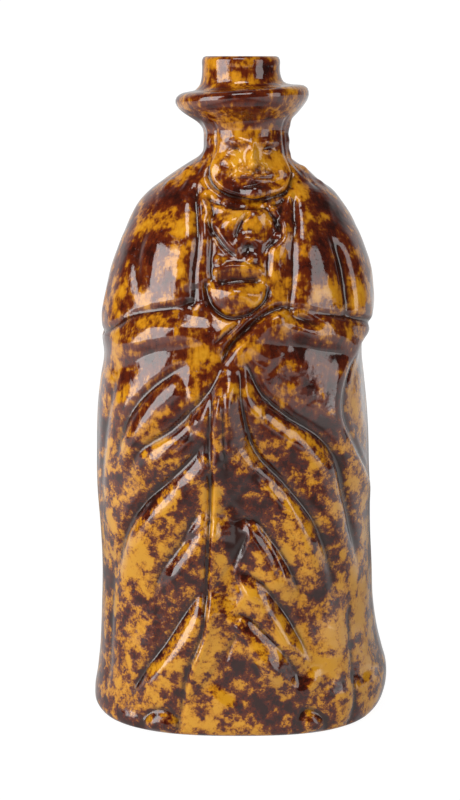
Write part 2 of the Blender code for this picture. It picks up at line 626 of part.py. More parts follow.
def all_rings():
    """Every ring of points, from the middle of the underside round to the middle of the floor."""
    skin = Skin(outside_levels(), ROUND_STEPS)
    skin.carve()
    skin.points[0, :, 2] = 0
    skin.points[..., 2] = np.maximum(skin.points[..., 2], 0)
    under = [skin.points[0] * share for share in (0.0, 0.35, 0.7)]
    return np.array(under + list(skin.points) + Hollow(skin).rings())


def flask_mesh(rings):
    """A ball whose rings are drawn to the flask's rings, so that it is closed, inside and out."""
    work = bmesh.new()
    last = len(rings) - 1
    bmesh.ops.create_uvsphere(work, u_segments=ROUND_STEPS, v_segments=last, radius=1)
    for vert in work.verts:
        ring = round(math.acos(max(-1, min(1, -vert.co.z))) / math.pi * last)
        step = round(math.atan2(vert.co.x, -vert.co.y) / (2 * math.pi) * ROUND_STEPS) % ROUND_STEPS
        vert.co = rings[ring, step]
    mesh = bpy.data.meshes.new("flask")
    work.to_mesh(mesh)
    work.free()
    return mesh


def keep_main_forms(item):
    """Leaves the flask with the kept number of triangles, and its underside and rim flat."""
    plain = item.vertex_groups.new(name="plain")
    for vert in item.data.vertices:
        up = vert.co.z / HEIGHT * 100
        fine = soft((up - 62) / 3) * (1 - soft((up - 89) / 2))
        fine *= soft((-vert.co.y / HALF_DEPTH - 0.3) / 0.1)
        fine *= soft(1.6 - abs(vert.co.x) / HALF_WIDTH * 3)
        plain.add([vert.index], 1 - 0.75 * float(fine), "REPLACE")
    fewer = item.modifiers.new("fewer", "DECIMATE")
    fewer.vertex_group = "plain"
    fewer.vertex_group_factor = FINE_CARE
    fewer.ratio = KEPT_TRIANGLES / sum(len(face.vertices) - 2 for face in item.data.polygons)
    fewer.use_collapse_triangulate = True
    built = item.evaluated_get(bpy.context.evaluated_depsgraph_get())
    mesh = bpy.data.meshes.new_from_object(built)
    item.modifiers.clear()
    item.data = mesh
    mesh.name = "flask"
    for vert in mesh.vertices:
        if vert.co.z < 0.00025:
            vert.co.z = 0
        if vert.co.z > HEIGHT - 0.00012:
            vert.co.z = HEIGHT


def glaze():
    """Brown and amber mottled glaze, at its mean colour."""
    material = bpy.data.materials.new("glaze")
    material.use_nodes = True
    shader = material.node_tree.nodes["Principled BSDF"]
    shader.inputs["Base Color"].default_value = (0.19, 0.065, 0.012, 1)
    shader.inputs["Roughness"].default_value = 0.12
    shader.inputs["Metallic"].default_value = 0.0
    shader.inputs["Coat Weight"].default_value = 0.5
    return material


def main():
    for item in list(bpy.data.objects):
        bpy.data.objects.remove(item, do_unlink=True)
    group = bpy.data.collections.new("figural flask")
    bpy.context.scene.collection.children.link(group)
    flask = bpy.data.objects.new("flask", flask_mesh(all_rings()))
    group.objects.link(flask)
    keep_main_forms(flask)
    flask.data.materials.append(glaze())


main()
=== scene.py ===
"""Looks of a glazed pottery flask in the shape of a cloaked coachman.

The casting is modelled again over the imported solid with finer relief, and gets its mottled brown
and amber glaze. Metres, +Z up, the figure faces -Y.
"""

import math

import bmesh
import bpy
import mathutils
import numpy as np
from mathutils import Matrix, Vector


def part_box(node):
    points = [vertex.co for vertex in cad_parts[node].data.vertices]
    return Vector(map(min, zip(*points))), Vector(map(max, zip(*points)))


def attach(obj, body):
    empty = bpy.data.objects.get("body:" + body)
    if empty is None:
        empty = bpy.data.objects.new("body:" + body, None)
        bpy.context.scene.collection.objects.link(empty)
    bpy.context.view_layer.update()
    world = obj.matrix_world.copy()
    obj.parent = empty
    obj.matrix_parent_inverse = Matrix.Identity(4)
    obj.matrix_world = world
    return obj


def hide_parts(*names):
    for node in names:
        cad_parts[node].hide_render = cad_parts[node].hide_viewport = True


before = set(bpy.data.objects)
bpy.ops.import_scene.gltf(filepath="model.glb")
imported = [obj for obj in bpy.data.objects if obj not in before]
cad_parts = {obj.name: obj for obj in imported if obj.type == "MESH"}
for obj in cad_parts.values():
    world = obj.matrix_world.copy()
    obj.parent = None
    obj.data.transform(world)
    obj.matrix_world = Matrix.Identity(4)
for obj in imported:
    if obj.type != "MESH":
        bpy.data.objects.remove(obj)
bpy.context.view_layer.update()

# Sizes of the casting, in metres, the same as the solid's
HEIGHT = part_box("flask")[1].z
HALF_WIDTH = 0.060
HALF_DEPTH = 0.047
WALL = 0.0042
FLOOR = 0.0065
MOUTH_RADIUS = 0.0095
LIP_ROUND = 0.0012
RIM_WALL = 0.0060
CAVITY_CORNER = 0.0090

# How finely the casting is worked: the steps round each ring, how much closer they lie at the
# front, and the rings of each stretch
ROUND_STEPS = 232
FRONT_CLOSER = 0.6
BODY_RINGS = 270
HEAD_RINGS = 86
HAT_RINGS = 36
BORE_RINGS = 8
CAVITY_RINGS = 16

# The plain form under the carving. Up is in percent of the height. Left and right are in percent
# of the half width, front and back in percent of the half depth, and the last is how square the
# level is, 2 being an ellipse.
FORM = [
    (0.0, 92.0, 88.5, 97.5, 92.0, 2.6),
    (0.35, 97.0, 92.0, 100.0, 95.5, 2.6),
    (1.2, 101.0, 96.5, 101.5, 98.5, 2.5),
    (2.8, 101.8, 100.0, 101.0, 99.0, 2.4),
    (5.4, 99.8, 101.0, 99.5, 97.0, 2.35),
    (8.0, 97.8, 98.0, 98.5, 95.0, 2.3),
    (11.0, 96.8, 94.6, 98.0, 93.0, 2.3),
    (16.0, 95.8, 91.0, 96.0, 91.0, 2.3),
    (22.5, 95.0, 89.5, 95.0, 89.0, 2.3),
    (29.0, 96.0, 88.0, 95.0, 88.0, 2.3),
    (35.0, 97.6, 88.0, 95.0, 87.5, 2.3),
    (41.6, 97.6, 87.5, 95.5, 87.0, 2.3),
    (48.0, 97.0, 86.0, 96.0, 86.0, 2.3),
    (52.0, 95.2, 84.0, 95.5, 85.0, 2.3),
    (55.5, 93.0, 82.3, 94.0, 84.5, 2.3),
    (58.5, 94.0, 83.5, 92.5, 84.5, 2.3),
    (61.0, 93.2, 87.2, 88.5, 84.0, 2.3),
    (63.0, 91.6, 88.2, 84.0, 83.5, 2.3),
    (65.5, 89.6, 88.2, 80.0, 83.0, 2.3),
    (68.5, 87.0, 87.2, 76.5, 82.5, 2.3),
    (71.5, 82.5, 83.0, 72.0, 80.5, 2.3),
    (74.2, 78.0, 78.6, 66.0, 77.5, 2.3),
    (76.4, 73.8, 74.0, 58.5, 73.5, 2.3),
    (78.5, 68.0, 67.5, 51.0, 68.0, 2.3),
    (80.1, 61.0, 61.5, 46.0, 62.0, 2.3),
    (81.6, 52.0, 52.0, 42.0, 55.5, 2.3),
    (83.1, 42.5, 44.5, 38.5, 48.5, 2.2),
    (84.3, 34.0, 36.0, 35.5, 42.0, 2.1),
    (85.3, 27.0, 29.5, 33.0, 37.0, 2.0),
    (86.3, 23.0, 27.0, 31.5, 34.5, 2.0),
    (87.5, 20.5, 25.5, 31.0, 33.5, 2.0),
    (88.6, 20.5, 25.5, 31.0, 33.5, 2.0),
]
# The brim and the foot of the crown, above the head, in the same percents
BRIM = [
    (89.5, 25.8, 32.0, 38.8, 40.0, 2.0),
    (90.4, 28.8, 33.8, 40.5, 41.5, 2.0),
    (91.3, 33.5, 38.2, 45.0, 45.8, 2.0),
    (92.2, 38.5, 42.0, 50.3, 50.8, 2.0),
    (93.1, 42.4, 44.6, 54.6, 55.0, 2.0),
    (93.9, 43.8, 45.2, 56.4, 56.6, 2.0),
    (94.6, 42.8, 44.4, 55.8, 56.0, 2.0),
    (95.05, 39.8, 42.0, 52.5, 52.6, 2.0),
    (95.25, 35.0, 37.5, 46.5, 46.5, 2.0),
    (95.4, 30.8, 33.0, 40.5, 40.5, 2.0),
]
# The head, which joins the body from the chin up to the brim, in the same percents
HEAD = [
    (76.0, 14.0, 20.0, 24.0, 24.0, 2.0),
    (78.0, 19.0, 25.0, 35.0, 32.0, 2.0),
    (79.2, 22.0, 28.0, 41.5, 36.0, 2.0),
    (80.4, 24.0, 30.5, 44.0, 38.0, 2.0),
    (82.0, 25.4, 32.0, 44.0, 39.5, 2.0),
    (84.5, 25.4, 32.0, 42.5, 40.0, 2.0),
    (86.5, 25.0, 31.8, 41.0, 40.0, 2.0),
    (88.6, 25.0, 31.6, 39.3, 39.8, 2.0),
    (89.5, 25.8, 32.0, 38.8, 40.0, 2.0),
]
# Rings lie closer from this level up
HEAD_FOOT = 78.5
# Heights in percent over which the head comes in and goes out, and over which the rounding of its
# join to the body goes out. The rounding is in the unit of the carving.
HEAD_IN = (HEAD[0][0], 79.0)
HEAD_OUT = (HEAD[-1][0], 90.3)
HEAD_JOIN = 3.0
JOIN_OUT = (83.5, 87.5)
# How steeply the brim rises to the figure's left, and the heights over which the tilt comes in and
# goes out
BRIM_TILT = 0.065
TILT_IN = (88.5, 92.5)
TILT_OUT = (96.0, 99.0)
# The flare at the foot of the crown, as shares of the crown's height and metres past its radius,
# and the rounding of its top edge
CROWN_FLARE = [(0.05, 0.0022), (0.16, 0.0010), (0.34, 0.0003), (0.62, 0.0)]
CROWN_EDGE = 0.0016

# Depths and widths of the carving are in this unit, a millimetre on a flask of the drawn depth
CUT = HALF_DEPTH / 47
# Heights in percent over which the carving comes in above the flat underside and goes out under
# the crown, and over which it may also move points up and down
CARVED_IN = (0.05, 1.15)
CARVED_OUT = (93.5, 95.0)
LIFTED_IN = (1.0, 3.0)

# The finer mesh draws the solid's lines with more shape. A crease wider than CREASE_WIDTH gets
# CREASE_SHARE of its depth and width. CREST is how far out a narrow swell rises, as a share of its
# width. From narrow to full, a swell rises further out by FULL_CREST, and gets broader and higher
# by shares of its own size.
CREASE_WIDTH = 1.2
CREASE_SHARE = 0.72
NARROW_SWELL = 2.4
FULL_SWELL = 4.0
CREST = 0.40
FULL_CREST = 0.48
FULL_BROADER = 0.62
FULL_HIGHER = 0.95
# How high a swell's curve stands before its fall, and how fast it falls
SWELL_PEAK = 1.55
SWELL_FALL = 0.8
# How many points a line is drawn with, how far past its ends it fades out in widths of its crease,
# and about how long a degree round and a percent of the height are, in millimetres
LINE_POINTS = 70
LINE_FADE = 1.2
DEGREE_LONG = 0.9
PERCENT_LONG = 2.67

# Soft lines in the surface. Each has the side of its swell, 1 for the right of the way the line
# runs and -1 for the left, the depth and width of the crease, the height and width of the swell,
# the height and width of the rise across the crease, and how much of the line fades in and out.
# Then come its spots, in degrees round from the front and percent of the height.
LAYERS = [
    # The cape's lower edge, from the left of the chest round the back to the right of the chest
    ((1, 1.7, 1.5, 0.8, 6.0, -0.7, 8, 0, 0),
     [(-15, 65), (-30, 63.8), (-46, 62.6), (-60, 60.4), (-80, 59)]),
    ((1, 1.2, 1.6, 0.5, 6.0, -0.4, 8, 0, 0),
     [(-80, 59), (-130, 59.6), (-180, 61), (-230, 60), (-268, 59.2)]),
    ((-1, 1.9, 1.5, 0.7, 6.0, -0.7, 8, 0, 0),
     [(20, 64), (35, 62.9), (52, 62), (68, 61), (92, 59.2)]),
    # The cape's rolled front edges, from the neck down
    ((1, 1.2, 1.1, 1.4, 3.5, -0.5, 3.5, 0.2, 0),
     [(-34, 82.5), (-26, 79.5), (-21, 75), (-20, 70), (-19, 64.5)]),
    ((-1, 1.3, 1.1, 1.4, 3.4, -0.6, 3.5, 0.25, 0),
     [(37, 82), (29, 78.5), (25, 74.5), (22.5, 69.5), (21, 63.8)]),
    # The coat's lapels inside the cape
    ((1, 1.0, 0.9, 1.1, 3.0, -0.5, 3, 0.1, 0.1),
     [(-21, 80.5), (-15, 78), (-14, 74), (-13, 69.5), (-12, 66.5)]),
    ((-1, 1.1, 0.9, 1.2, 3.0, -0.5, 3, 0.1, 0.2),
     [(27.5, 81), (21.5, 77.8), (16, 74.6), (11.5, 70.3), (11.5, 66.8)]),
    # The right half of the cloak lapping over the left at the gather, and the roll beside it
    ((-1, 2.3, 1.2, 2.5, 3.4, 0.8, 3, 0.15, 0.3),
     [(21, 64.2), (15, 63.8), (8, 62.4), (2, 60.2), (-2, 58), (-5, 54.9)]),
    ((-1, 0.9, 1.0, 0.6, 2.0, 0.9, 2.4, 0.25, 0.25),
     [(3, 62.6), (-3.5, 60.4), (-8, 58.6)]),
    # The cloak's back edge under the right elbow, over the layer behind
    ((1, 2.0, 1.5, 2.2, 3.6, -1.6, 5, 0.1, 0.3),
     [(86, 58.5), (68, 56.5), (52, 51.5), (50, 48.5), (60, 42), (92, 34)]),
]
FOLDS = [
    # The seam down the front, and the narrow crease beside it
    ((-1, 1.5, 1.1, 1.7, 2.7, 0.4, 3, 0.1, 0.1),
     [(-7, 54), (-9, 46), (-9, 38), (-12, 24), (-14, 16), (-21, 9), (-23, 1)]),
    ((1, 0.8, 1.0, 0.9, 2.0, 0.9, 2.2, 0.3, 0.4),
     [(-3, 54.5), (-3.5, 50), (-3.5, 44), (-1.5, 38)]),
    # Folds running down to the left from the gather
    ((-1, 1.8, 1.4, 3.1, 4.4, 0.4, 4, 0.2, 0.3),
     [(-17, 56.4), (-28, 54), (-38, 50.8), (-47, 46), (-55, 39)]),
    ((-1, 2.3, 1.5, 3.6, 4.4, 0.8, 4, 0.35, 0.3),
     [(-2.5, 59), (-8, 53), (-16, 49.4), (-25, 46.2), (-36, 43.6), (-47, 38)]),
    ((-1, 2.1, 1.5, 3.4, 4.4, 0.7, 4, 0.2, 0.35),
     [(-9, 47.5), (-15, 43), (-25, 39), (-36, 35.4), (-48, 30), (-58, 20)]),
    ((-1, 1.6, 1.4, 3.0, 4.0, 0.5, 4, 0.25, 0.35),
     [(-11, 36), (-16, 33.2), (-22, 29.4), (-30, 25.4), (-37, 19)]),
    ((-1, 1.8, 1.4, 3.2, 4.2, 0.4, 4, 0.2, 0.25),
     [(-12.5, 23.7), (-20.5, 19.2), (-29.5, 13.9), (-39.5, 9), (-45.5, 3.7)]),
    # Folds running down to the right
    ((1, 2.2, 1.5, 3.5, 4.5, 0.6, 5, 0.15, 0.35),
     [(3.5, 59), (7, 55.3), (12.5, 51.5), (21.5, 48.6), (36.5, 44.6), (43, 41.5), (48, 36)]
     + [(64, 20)]),
    ((1, 2.1, 1.4, 3.5, 4.0, 0.6, 4, 0.15, 0.3),
     [(3, 57.4), (4, 50), (9, 43.4), (20, 38.6), (32, 32.6), (39, 26), (41, 17)]),
    ((1, 1.4, 1.4, 3.3, 3.8, 0.3, 4, 0.15, 0.3),
     [(-1, 32.6), (7, 33.2), (15, 30), (21, 26.2), (27, 20)]),
    ((1, 1.5, 1.4, 3.1, 4.0, 0.3, 4, 0.25, 0.3),
     [(-1, 26), (8, 24.2), (17, 20.2), (24, 15.8), (30, 10)]),
    ((1, 1.2, 1.3, 2.9, 3.8, 0.3, 4, 0.2, 0.3),
     [(-6, 18.6), (3, 18.6), (11, 16), (19, 12.2), (25, 7.6)]),
    # The rounded end of the leaf between the last folds, and the low ridge beside it
    ((1, -1.8, 2.6, 0, 3, 0, 3, 0.3, 0.15),
     [(1, 14.8), (8.5, 12.1), (15.5, 9), (23, 6.8), (27.5, 8.1), (28.5, 10.4)]),
    ((1, -1.3, 2.6, 0, 3, 0, 3, 0.4, 0.4),
     [(-13, 8.1), (-8.5, 5.5), (-1, 3.3)]),
    # The edge of the plain panel at the right of the hem
    ((1, 2.0, 1.5, 1.5, 4.4, -1.0, 5, 0.4, 0),
     [(55, 23), (50.5, 16.1), (49.5, 11.2), (47, 7.3), (46, 0.8)]),
    # The creases under the sleeves, and those in the cape
    ((-1, 0.5, 2.6, 0.3, 5.0, 1.3, 6.0, 0.3, 0.2),
     [(4.5, 59.4), (15, 58.8), (29, 58.3), (43.5, 57.4), (60, 56.5)]),
    ((-1, 0.4, 2.6, 0.2, 5.0, 0.9, 6.0, 0.3, 0.3),
     [(-48, 55.8), (-36, 57.4), (-22, 58.2), (-9, 59.2)]),
    ((-1, 1.9, 1.7, 1.9, 4.4, 0.4, 5, 0.4, 0),
     [(42, 76), (45.5, 71.2), (46, 67.7), (48.5, 62.8)]),
    ((1, 1.0, 3.2, 0.4, 5.0, 0.4, 5, 0.4, 0.2),
     [(-49, 76.5), (-51, 72.1), (-48, 68.6), (-43, 65)]),
    # Long drops at the left of the cloak
    ((-1, 0.9, 2, 1.2, 4.8, 0.4, 5, 0.3, 0.3),
     [(-54, 58), (-60, 48), (-68, 38), (-70, 26)]),
    ((-1, 0.9, 2, 1.3, 4.8, 0.4, 5, 0.4, 0.2),
     [(-60, 30), (-62, 16), (-62, 3)]),
]
# Drops of the cloak round the sides and the back: degrees round, top and foot in percent, depth.
# DROP_SHARE is how high the swells beside a drop are, as a share of its depth.
DROPS = [
    (-88, 56, 3, 1.0),
    (-112, 55, 2, 1.3),
    (-136, 57, 3, 1.2),
    (-160, 58, 2, 1.5),
    (-181, 59, 2, 1.7),
    (-204, 58, 3, 1.4),
    (-228, 56, 2, 1.2),
    (-252, 42, 3, 1.2),
]
DROP_SHARE = 0.8

# Rounded knobs and hollows: degrees round and percent up of the middle, half width, half height,
# height, and lean in degrees
MASSES = [
    # The mug, the knots of the neckcloth and the chest under it
    (-1, 65.8, 8.2, 4.8, 5.0, 0),
    (-5, 76.0, 4.6, 3.8, 2.9, 25),
    (6.5, 76.6, 5.2, 4.2, 2.9, -20),
    (3.5, 73.4, 3.6, 2.8, 2.2, 0),
    # The forearms under the cloak
    (-22, 60.6, 13.0, 5.4, 2.0, 4),
    (-44, 58.9, 13.0, 5.0, 1.8, 18),
    (26, 61.0, 13.0, 4.6, 2.0, -6),
    (46, 59.6, 12.0, 4.6, 1.6, -10),
    # The swell of the left of the cape and the pocket under the right
    (-37, 71.0, 9.0, 13.0, 1.7, 6),
    (34, 70.5, 8.0, 13.0, 1.4, -4),
    (28, 62.0, 5.5, 2.0, -2.1, -6),
    # The neck under the chin
    (6, 79.0, 10.0, 2.4, -1.6, 0),
    # The hollow between the cloak's back edge and the layer behind
    (78, 48.5, 8.0, 11.0, -1.0, 0),
    # The plain panel at the right of the hem
    (70, 10, 10.0, 15.0, -0.9, 0),
]
DETAILS = [
    # Collar points, with the dip between them, and the dark under the knot
    (-8, 78.6, 3.0, 2.2, 1.7, 35),
    (15, 78.6, 2.8, 2.2, 1.6, -35),
    (2, 78.2, 3.0, 0.9, -0.8, 0),
    (3, 72.4, 2.6, 2.6, -2.6, 0),
    # The ruffled edge of the neckcloth
    (11.5, 77.2, 1.5, 0.8, 0.9, -30),
    (14, 76.2, 1.5, 0.8, 0.9, -25),
    (15.5, 75.2, 1.5, 0.8, 0.9, -15),
    (16, 74.2, 1.5, 0.8, 0.8, 0),
    # Buttons over the mug, and the knuckles at its foot
    (-10, 70.7, 1.8, 1.5, 1.9, 0),
    (4.5, 71.0, 1.6, 1.3, 1.7, 0),
    (-16, 64.6, 2.4, 2.3, 1.6, 0),
    (3.5, 62.6, 1.7, 1.2, 0.9, 0),
]
STROKES = [
    # The rim of the mug, the dark of its mouth and the outline of its body
    ((1, -2.2, 1.2, 0, 1, 0, 1, 0.1, 0.1),
     [(-12.5, 68.8), (-7, 69.7), (0.5, 69.8), (10, 69.2)]),
    ((1, 2.6, 1.0, 0.5, 1.2, 0.4, 1.2, 0.1, 0.1),
     [(-10.5, 67.6), (-0.5, 68.1), (9, 67.8)]),
    ((-1, 2.2, 1.0, 1.2, 2.6, 0, 1.5, 0.1, 0.1),
     [(-14.5, 68.4), (-14, 66), (-10.5, 64), (-3.5, 62.7), (4.5, 63.1), (10.5, 65), (12, 67.6)]),
    # The folds of the neckcloth
    ((-1, 1.5, 0.9, 1.7, 1.8, 0, 1.4, 0.15, 0.15),
     [(-16.5, 77), (-15, 75.6), (-11, 74), (-6, 72.3), (-1, 71.2)]),
    ((1, 1.2, 0.8, 1.1, 1.6, 0, 1.4, 0.2, 0.2),
     [(5, 77.4), (-0.5, 75.6), (-3.5, 73.6)]),
    ((-1, 1.3, 0.9, 1.0, 2.0, 0, 1.4, 0.1, 0.2),
     [(13, 78.2), (18, 76.4), (18.5, 74), (12, 72.6), (9, 71)]),
    # The line of the jaw, and the collar's edge under it
    ((-1, 1.7, 1.0, 1.2, 2.6, 0.0, 3, 0.2, 0.2),
     [(-41, 87.5), (-35, 84.6), (-23, 82), (-8, 80), (8, 79.3)]
     + [(24, 80), (39, 82), (51, 84.6), (57, 87.5)]),
    ((1, 1.1, 0.8, 0.9, 1.4, 0, 1, 0.15, 0.15),
     [(-19, 79.6), (-8, 78.2), (4, 77.8), (16, 78.2), (27, 79.6)]),
    # The beaded edge of the right of the cape
    ((1, -0.7, 0.8, 0, 1, 0, 1, 0.1, 0),
     [(25.8, 76.5), (24.6, 73.5), (23.4, 69), (22.2, 64.4)]),
]

# The head: how far it is turned to the figure's left, the eye line and the chin in percent of the
# height, and the face's forms in shares of the distance between those two. Each form has how far
# across from the middle and how far up from the eye line it is, its half width and half height,
# and how far it stands out, which FACE_RELIEF multiplies. Forms away from the middle are on both
# sides.
FACE_TURN = 8
FACE_RELIEF = 1.3
EYE_LINE = 86.3
CHIN = 79.8
FACE_TALL = (EYE_LINE - CHIN) / 100 * HEIGHT
FACE = [
    (0.00, -0.66, 0.44, 0.30, 0.060),
    (0.00, -0.95, 0.26, 0.14, 0.100),
    (0.47, -0.34, 0.24, 0.22, 0.070),
    (0.33, 0.01, 0.20, 0.13, -0.075),
    (0.30, 0.20, 0.28, 0.08, 0.035),
    (0.00, 0.03, 0.08, 0.20, 0.050),
    (0.00, -0.17, 0.09, 0.16, 0.110),
    (0.00, -0.35, 0.11, 0.10, 0.135),
    (0.11, -0.41, 0.055, 0.055, 0.045),
]
FACE_DETAILS = [
    # Eyeballs, brows, the tip and the wings of the nose, and the nostrils
    (0.33, -0.005, 0.13, 0.075, 0.085),
    (0.31, 0.185, 0.20, 0.045, 0.030),
    (0.00, -0.33, 0.075, 0.08, 0.030),
    (0.115, -0.385, 0.045, 0.045, 0.035),
    (0.055, -0.445, 0.030, 0.022, -0.035),
    # The groove over the mouth, the lips, and the hollow over the chin
    (0.00, -0.505, 0.035, 0.05, -0.020),
    (0.06, -0.575, 0.09, 0.030, 0.036),
    (0.00, -0.665, 0.12, 0.040, 0.048),
    (0.00, -0.765, 0.15, 0.035, -0.030),
    (0.21, -0.62, 0.030, 0.035, -0.022),
    (0.00, -0.88, 0.13, 0.09, 0.030),
]
# Lines of the face in the same shares, each on both sides: the depth and width of the crease, the
# height and width of the swell above it, and its spots from the middle outwards. FACE_ENDS is how
# much of each fades in and out.
FACE_LINES = [
    # The upper lids with the fold over them, and the lower lids
    ((0.030, 0.020, 0.012, 0.05),
     [(0.19, -0.03), (0.25, 0.045), (0.34, 0.065), (0.43, 0.035), (0.49, -0.02)]),
    ((0.014, 0.018, 0.010, 0.04), [(0.20, 0.05), (0.29, 0.105), (0.38, 0.105), (0.49, 0.045)]),
    ((0.020, 0.018, 0.016, 0.04), [(0.20, -0.04), (0.28, -0.075), (0.37, -0.08), (0.47, -0.035)]),
    # The line between the lips, the wings of the nose and the folds of the cheeks
    ((0.034, 0.020, 0.010, 0.04),
     [(0.00, -0.612), (0.07, -0.606), (0.14, -0.614), (0.205, -0.606)]),
    ((0.020, 0.022, 0.012, 0.06), [(0.125, -0.30), (0.175, -0.355), (0.165, -0.43)]),
    ((0.012, 0.030, 0.016, 0.09), [(0.20, -0.40), (0.255, -0.49), (0.285, -0.60)]),
]
FACE_ENDS = 0.12

# The hair at the temples, a lock and the groove in front of it: degrees round from the middle of
# the face, half width, half height, height, and lean in degrees. They repeat in rows, from a height
# over the eye line down, in percent.
HAIR = [
    (66, 1.7, 2.6, 0.9, 12),
    (50, 0.8, 3.0, -0.5, 0),
]
HAIR_ROWS = 5
HAIR_TOP = 3.4
HAIR_STEP = 2.1

# The toes of the shoes: degrees round, half width and half height. Each has its middle at TOE_UP
# percent, a rounded cap that ends over TOE_EDGE, and a groove round it, in shares of its size.
TOES = [
    (-30, 6.2, 5.0),
    (29, 4.8, 4.8),
]
TOE_UP = 1.3
TOE_HEIGHT = 1.3
TOE_EDGE = (0.55, 1.05)
TOE_GROOVE = 1.2
TOE_GROOVE_AT = 1.28
TOE_GROOVE_WIDTH = 0.22
TOE_REACH = 15

# Where the amber lies thicker, or thinner where it is below 0, than its chance spread, laid out as
# the masses are
AMBER = [
    # The hat and the head
    (-13, 97.9, 2.4, 4.0, 0.30, 0),
    (32, 97.9, 4.6, 4.0, -0.35, 0),
    (-2, 94.4, 9.0, 2.4, -0.20, 0),
    (50, 94.6, 5.5, 3.0, 0.30, 0),
    (8, 89.6, 7.5, 4.6, 0.35, 0),
    (7, 84.6, 9.5, 7.0, 0.34, 0),
    (4, 80.6, 9.0, 1.6, -0.60, 0),
    (24, 85.0, 3.0, 5.0, 0.25, 0),
    # The neck, the neckcloth and the coat between the edges of the cape
    (0, 81.0, 6.5, 3.0, -0.25, 0),
    (-13, 86.0, 3.4, 3.2, 0.34, 0),
    (9, 85.0, 2.0, 3.2, 0.30, 0),
    (-17, 79.2, 3.0, 8.5, 0.30, 0),
    (0, 76.6, 5.5, 5.5, 0.25, 0),
    (4, 72.1, 5.5, 4.0, -0.28, 0),
    (14, 70.3, 3.2, 6.0, 0.32, 0),
    # The left of the cape
    (-34, 79.0, 9.0, 6.0, -0.45, 30),
    (-46, 75.8, 8.0, 5.5, 0.34, 0),
    (-25, 75.4, 4.6, 5.5, 0.28, 0),
    (-43, 70.3, 7.0, 7.0, -0.40, 0),
    (-27, 69.0, 3.0, 9.5, 0.26, 0),
    (-20, 67.5, 2.6, 5.0, -0.30, 0),
    (-62, 69.0, 4.0, 12.0, -0.15, 0),
    # The right of the cape
    (37, 80.6, 7.0, 6.0, 0.36, -30),
    (58, 78.7, 7.0, 8.0, -0.32, 0),
    (35, 71.2, 6.0, 9.5, -0.50, 0),
    (54, 72.5, 5.5, 15.0, -0.34, 0),
    (55, 65.1, 4.6, 6.5, 0.38, 0),
    (27, 66.0, 2.6, 6.0, -0.30, 0),
    (38, 65.8, 4.0, 4.5, 0.22, 0),
    # The sleeves and the gather
    (-39, 60.8, 8.5, 3.6, 0.32, 10),
    (21, 62.4, 4.6, 4.2, 0.30, 0),
    (38, 57.4, 14.0, 5.0, -0.50, -4),
    (42, 50.9, 7.0, 7.5, -0.42, 0),
    (-56, 57.0, 4.0, 8.0, 0.34, 0),
    (-34, 57.0, 9.0, 3.6, -0.36, 0),
    (-14, 57.4, 6.0, 5.0, 0.30, 30),
    (3, 58.6, 2.8, 5.5, 0.32, 0),
    # The folds
    (-26, 51.3, 6.0, 4.0, -0.30, 30),
    (59, 48.6, 4.6, 7.0, 0.32, 0),
    (14, 53.1, 5.5, 4.0, -0.30, -30),
    (-2, 43.3, 4.6, 15.0, -0.34, 0),
    (36, 46.9, 11.0, 4.5, -0.45, -20),
    (-28, 44.6, 6.0, 4.0, 0.28, 30),
    (-58, 38.8, 4.6, 13.0, 0.28, 0),
    (57, 36.6, 5.5, 6.0, 0.42, 0),
    (-8, 36.2, 3.0, 8.5, 0.36, 0),
    (1, 31.3, 3.8, 12.0, -0.42, 0),
    (22, 27.7, 8.0, 5.5, 0.34, -20),
    (-44, 26.8, 10.0, 12.0, 0.30, 0),
    # The hem
    (-3, 21.0, 9.0, 6.5, 0.32, 0),
    (40, 20.1, 5.0, 12.0, -0.15, 0),
    (34, 12.0, 8.0, 8.0, 0.25, 0),
    (58, 18.8, 7.0, 20.0, 0.42, 0),
    (62, 8.6, 6.5, 10.0, 0.50, 0),
    (-28, 24.1, 5.5, 3.2, -0.26, 0),
    (-14, 1.9, 12.0, 3.2, 0.40, 0),
    (15, 5.5, 7.0, 5.5, -0.30, 0),
]


def soft(value):
    """Rises smoothly from 0 to 1 as the value does."""
    value = np.clip(value, 0, 1)
    return value * value * (3 - 2 * value)


def ramp(value, low, high):
    """Rises smoothly from 0 to 1 as the value goes from low to high."""
    return soft((value - low) / (high - low))


def hill(value):
    """A rounded hill, 1 at 0 and almost gone at 2."""
    return np.exp(-value * value)


def swell(value, rise):
    """Nothing up to 0, up to about 1 as the rise says, then slowly down again."""
    value = np.maximum(value, 0)
    return SWELL_PEAK * (1 - np.exp(-(value / rise) ** 2)) * np.exp(-SWELL_FALL * value)


def smoothed(heights):
    """Heights on the net of rings and steps, each averaged with those around it."""
    heights = (np.roll(heights, 1, axis=1) + 2 * heights + np.roll(heights, -1, axis=1)) / 4
    heights[1:-1] = (heights[:-2] + 2 * heights[1:-1] + heights[2:]) / 4
    return heights


def smooth_through(knots, at, along):
    """Values at the places `at` of a smooth curve through the knots, whose places are `along`."""
    slope = np.gradient(knots, along, axis=0)
    i = np.clip(np.searchsorted(along, at, side="right") - 1, 0, len(along) - 2)
    step = along[i + 1] - along[i]
    f = ((at - along[i]) / step)[:, None]
    start, end = knots[i], knots[i + 1]
    leave, arrive = slope[i] * step[:, None], slope[i + 1] * step[:, None]
    return (
        (2 * f**3 - 3 * f**2 + 1) * start
        + (f**3 - 2 * f**2 + f) * leave
        + (3 * f**2 - 2 * f**3) * end
        + (f**3 - f**2) * arrive
    )


def run_of(levels):
    """Distance run along the outline at each level, the outline being drawn at the mean radius."""
    radius = levels[:, 1:5].mean(axis=1)
    return np.concatenate([[0], np.cumsum(np.hypot(np.diff(radius), np.diff(levels[:, 0])))])


def in_metres(rows):
    """Levels as height, left, right, front and back in metres, and how square they are."""
    scale = [HEIGHT / 100, HALF_WIDTH / 100, HALF_WIDTH / 100, HALF_DEPTH / 100, HALF_DEPTH / 100, 1]
    return np.array(rows) * scale


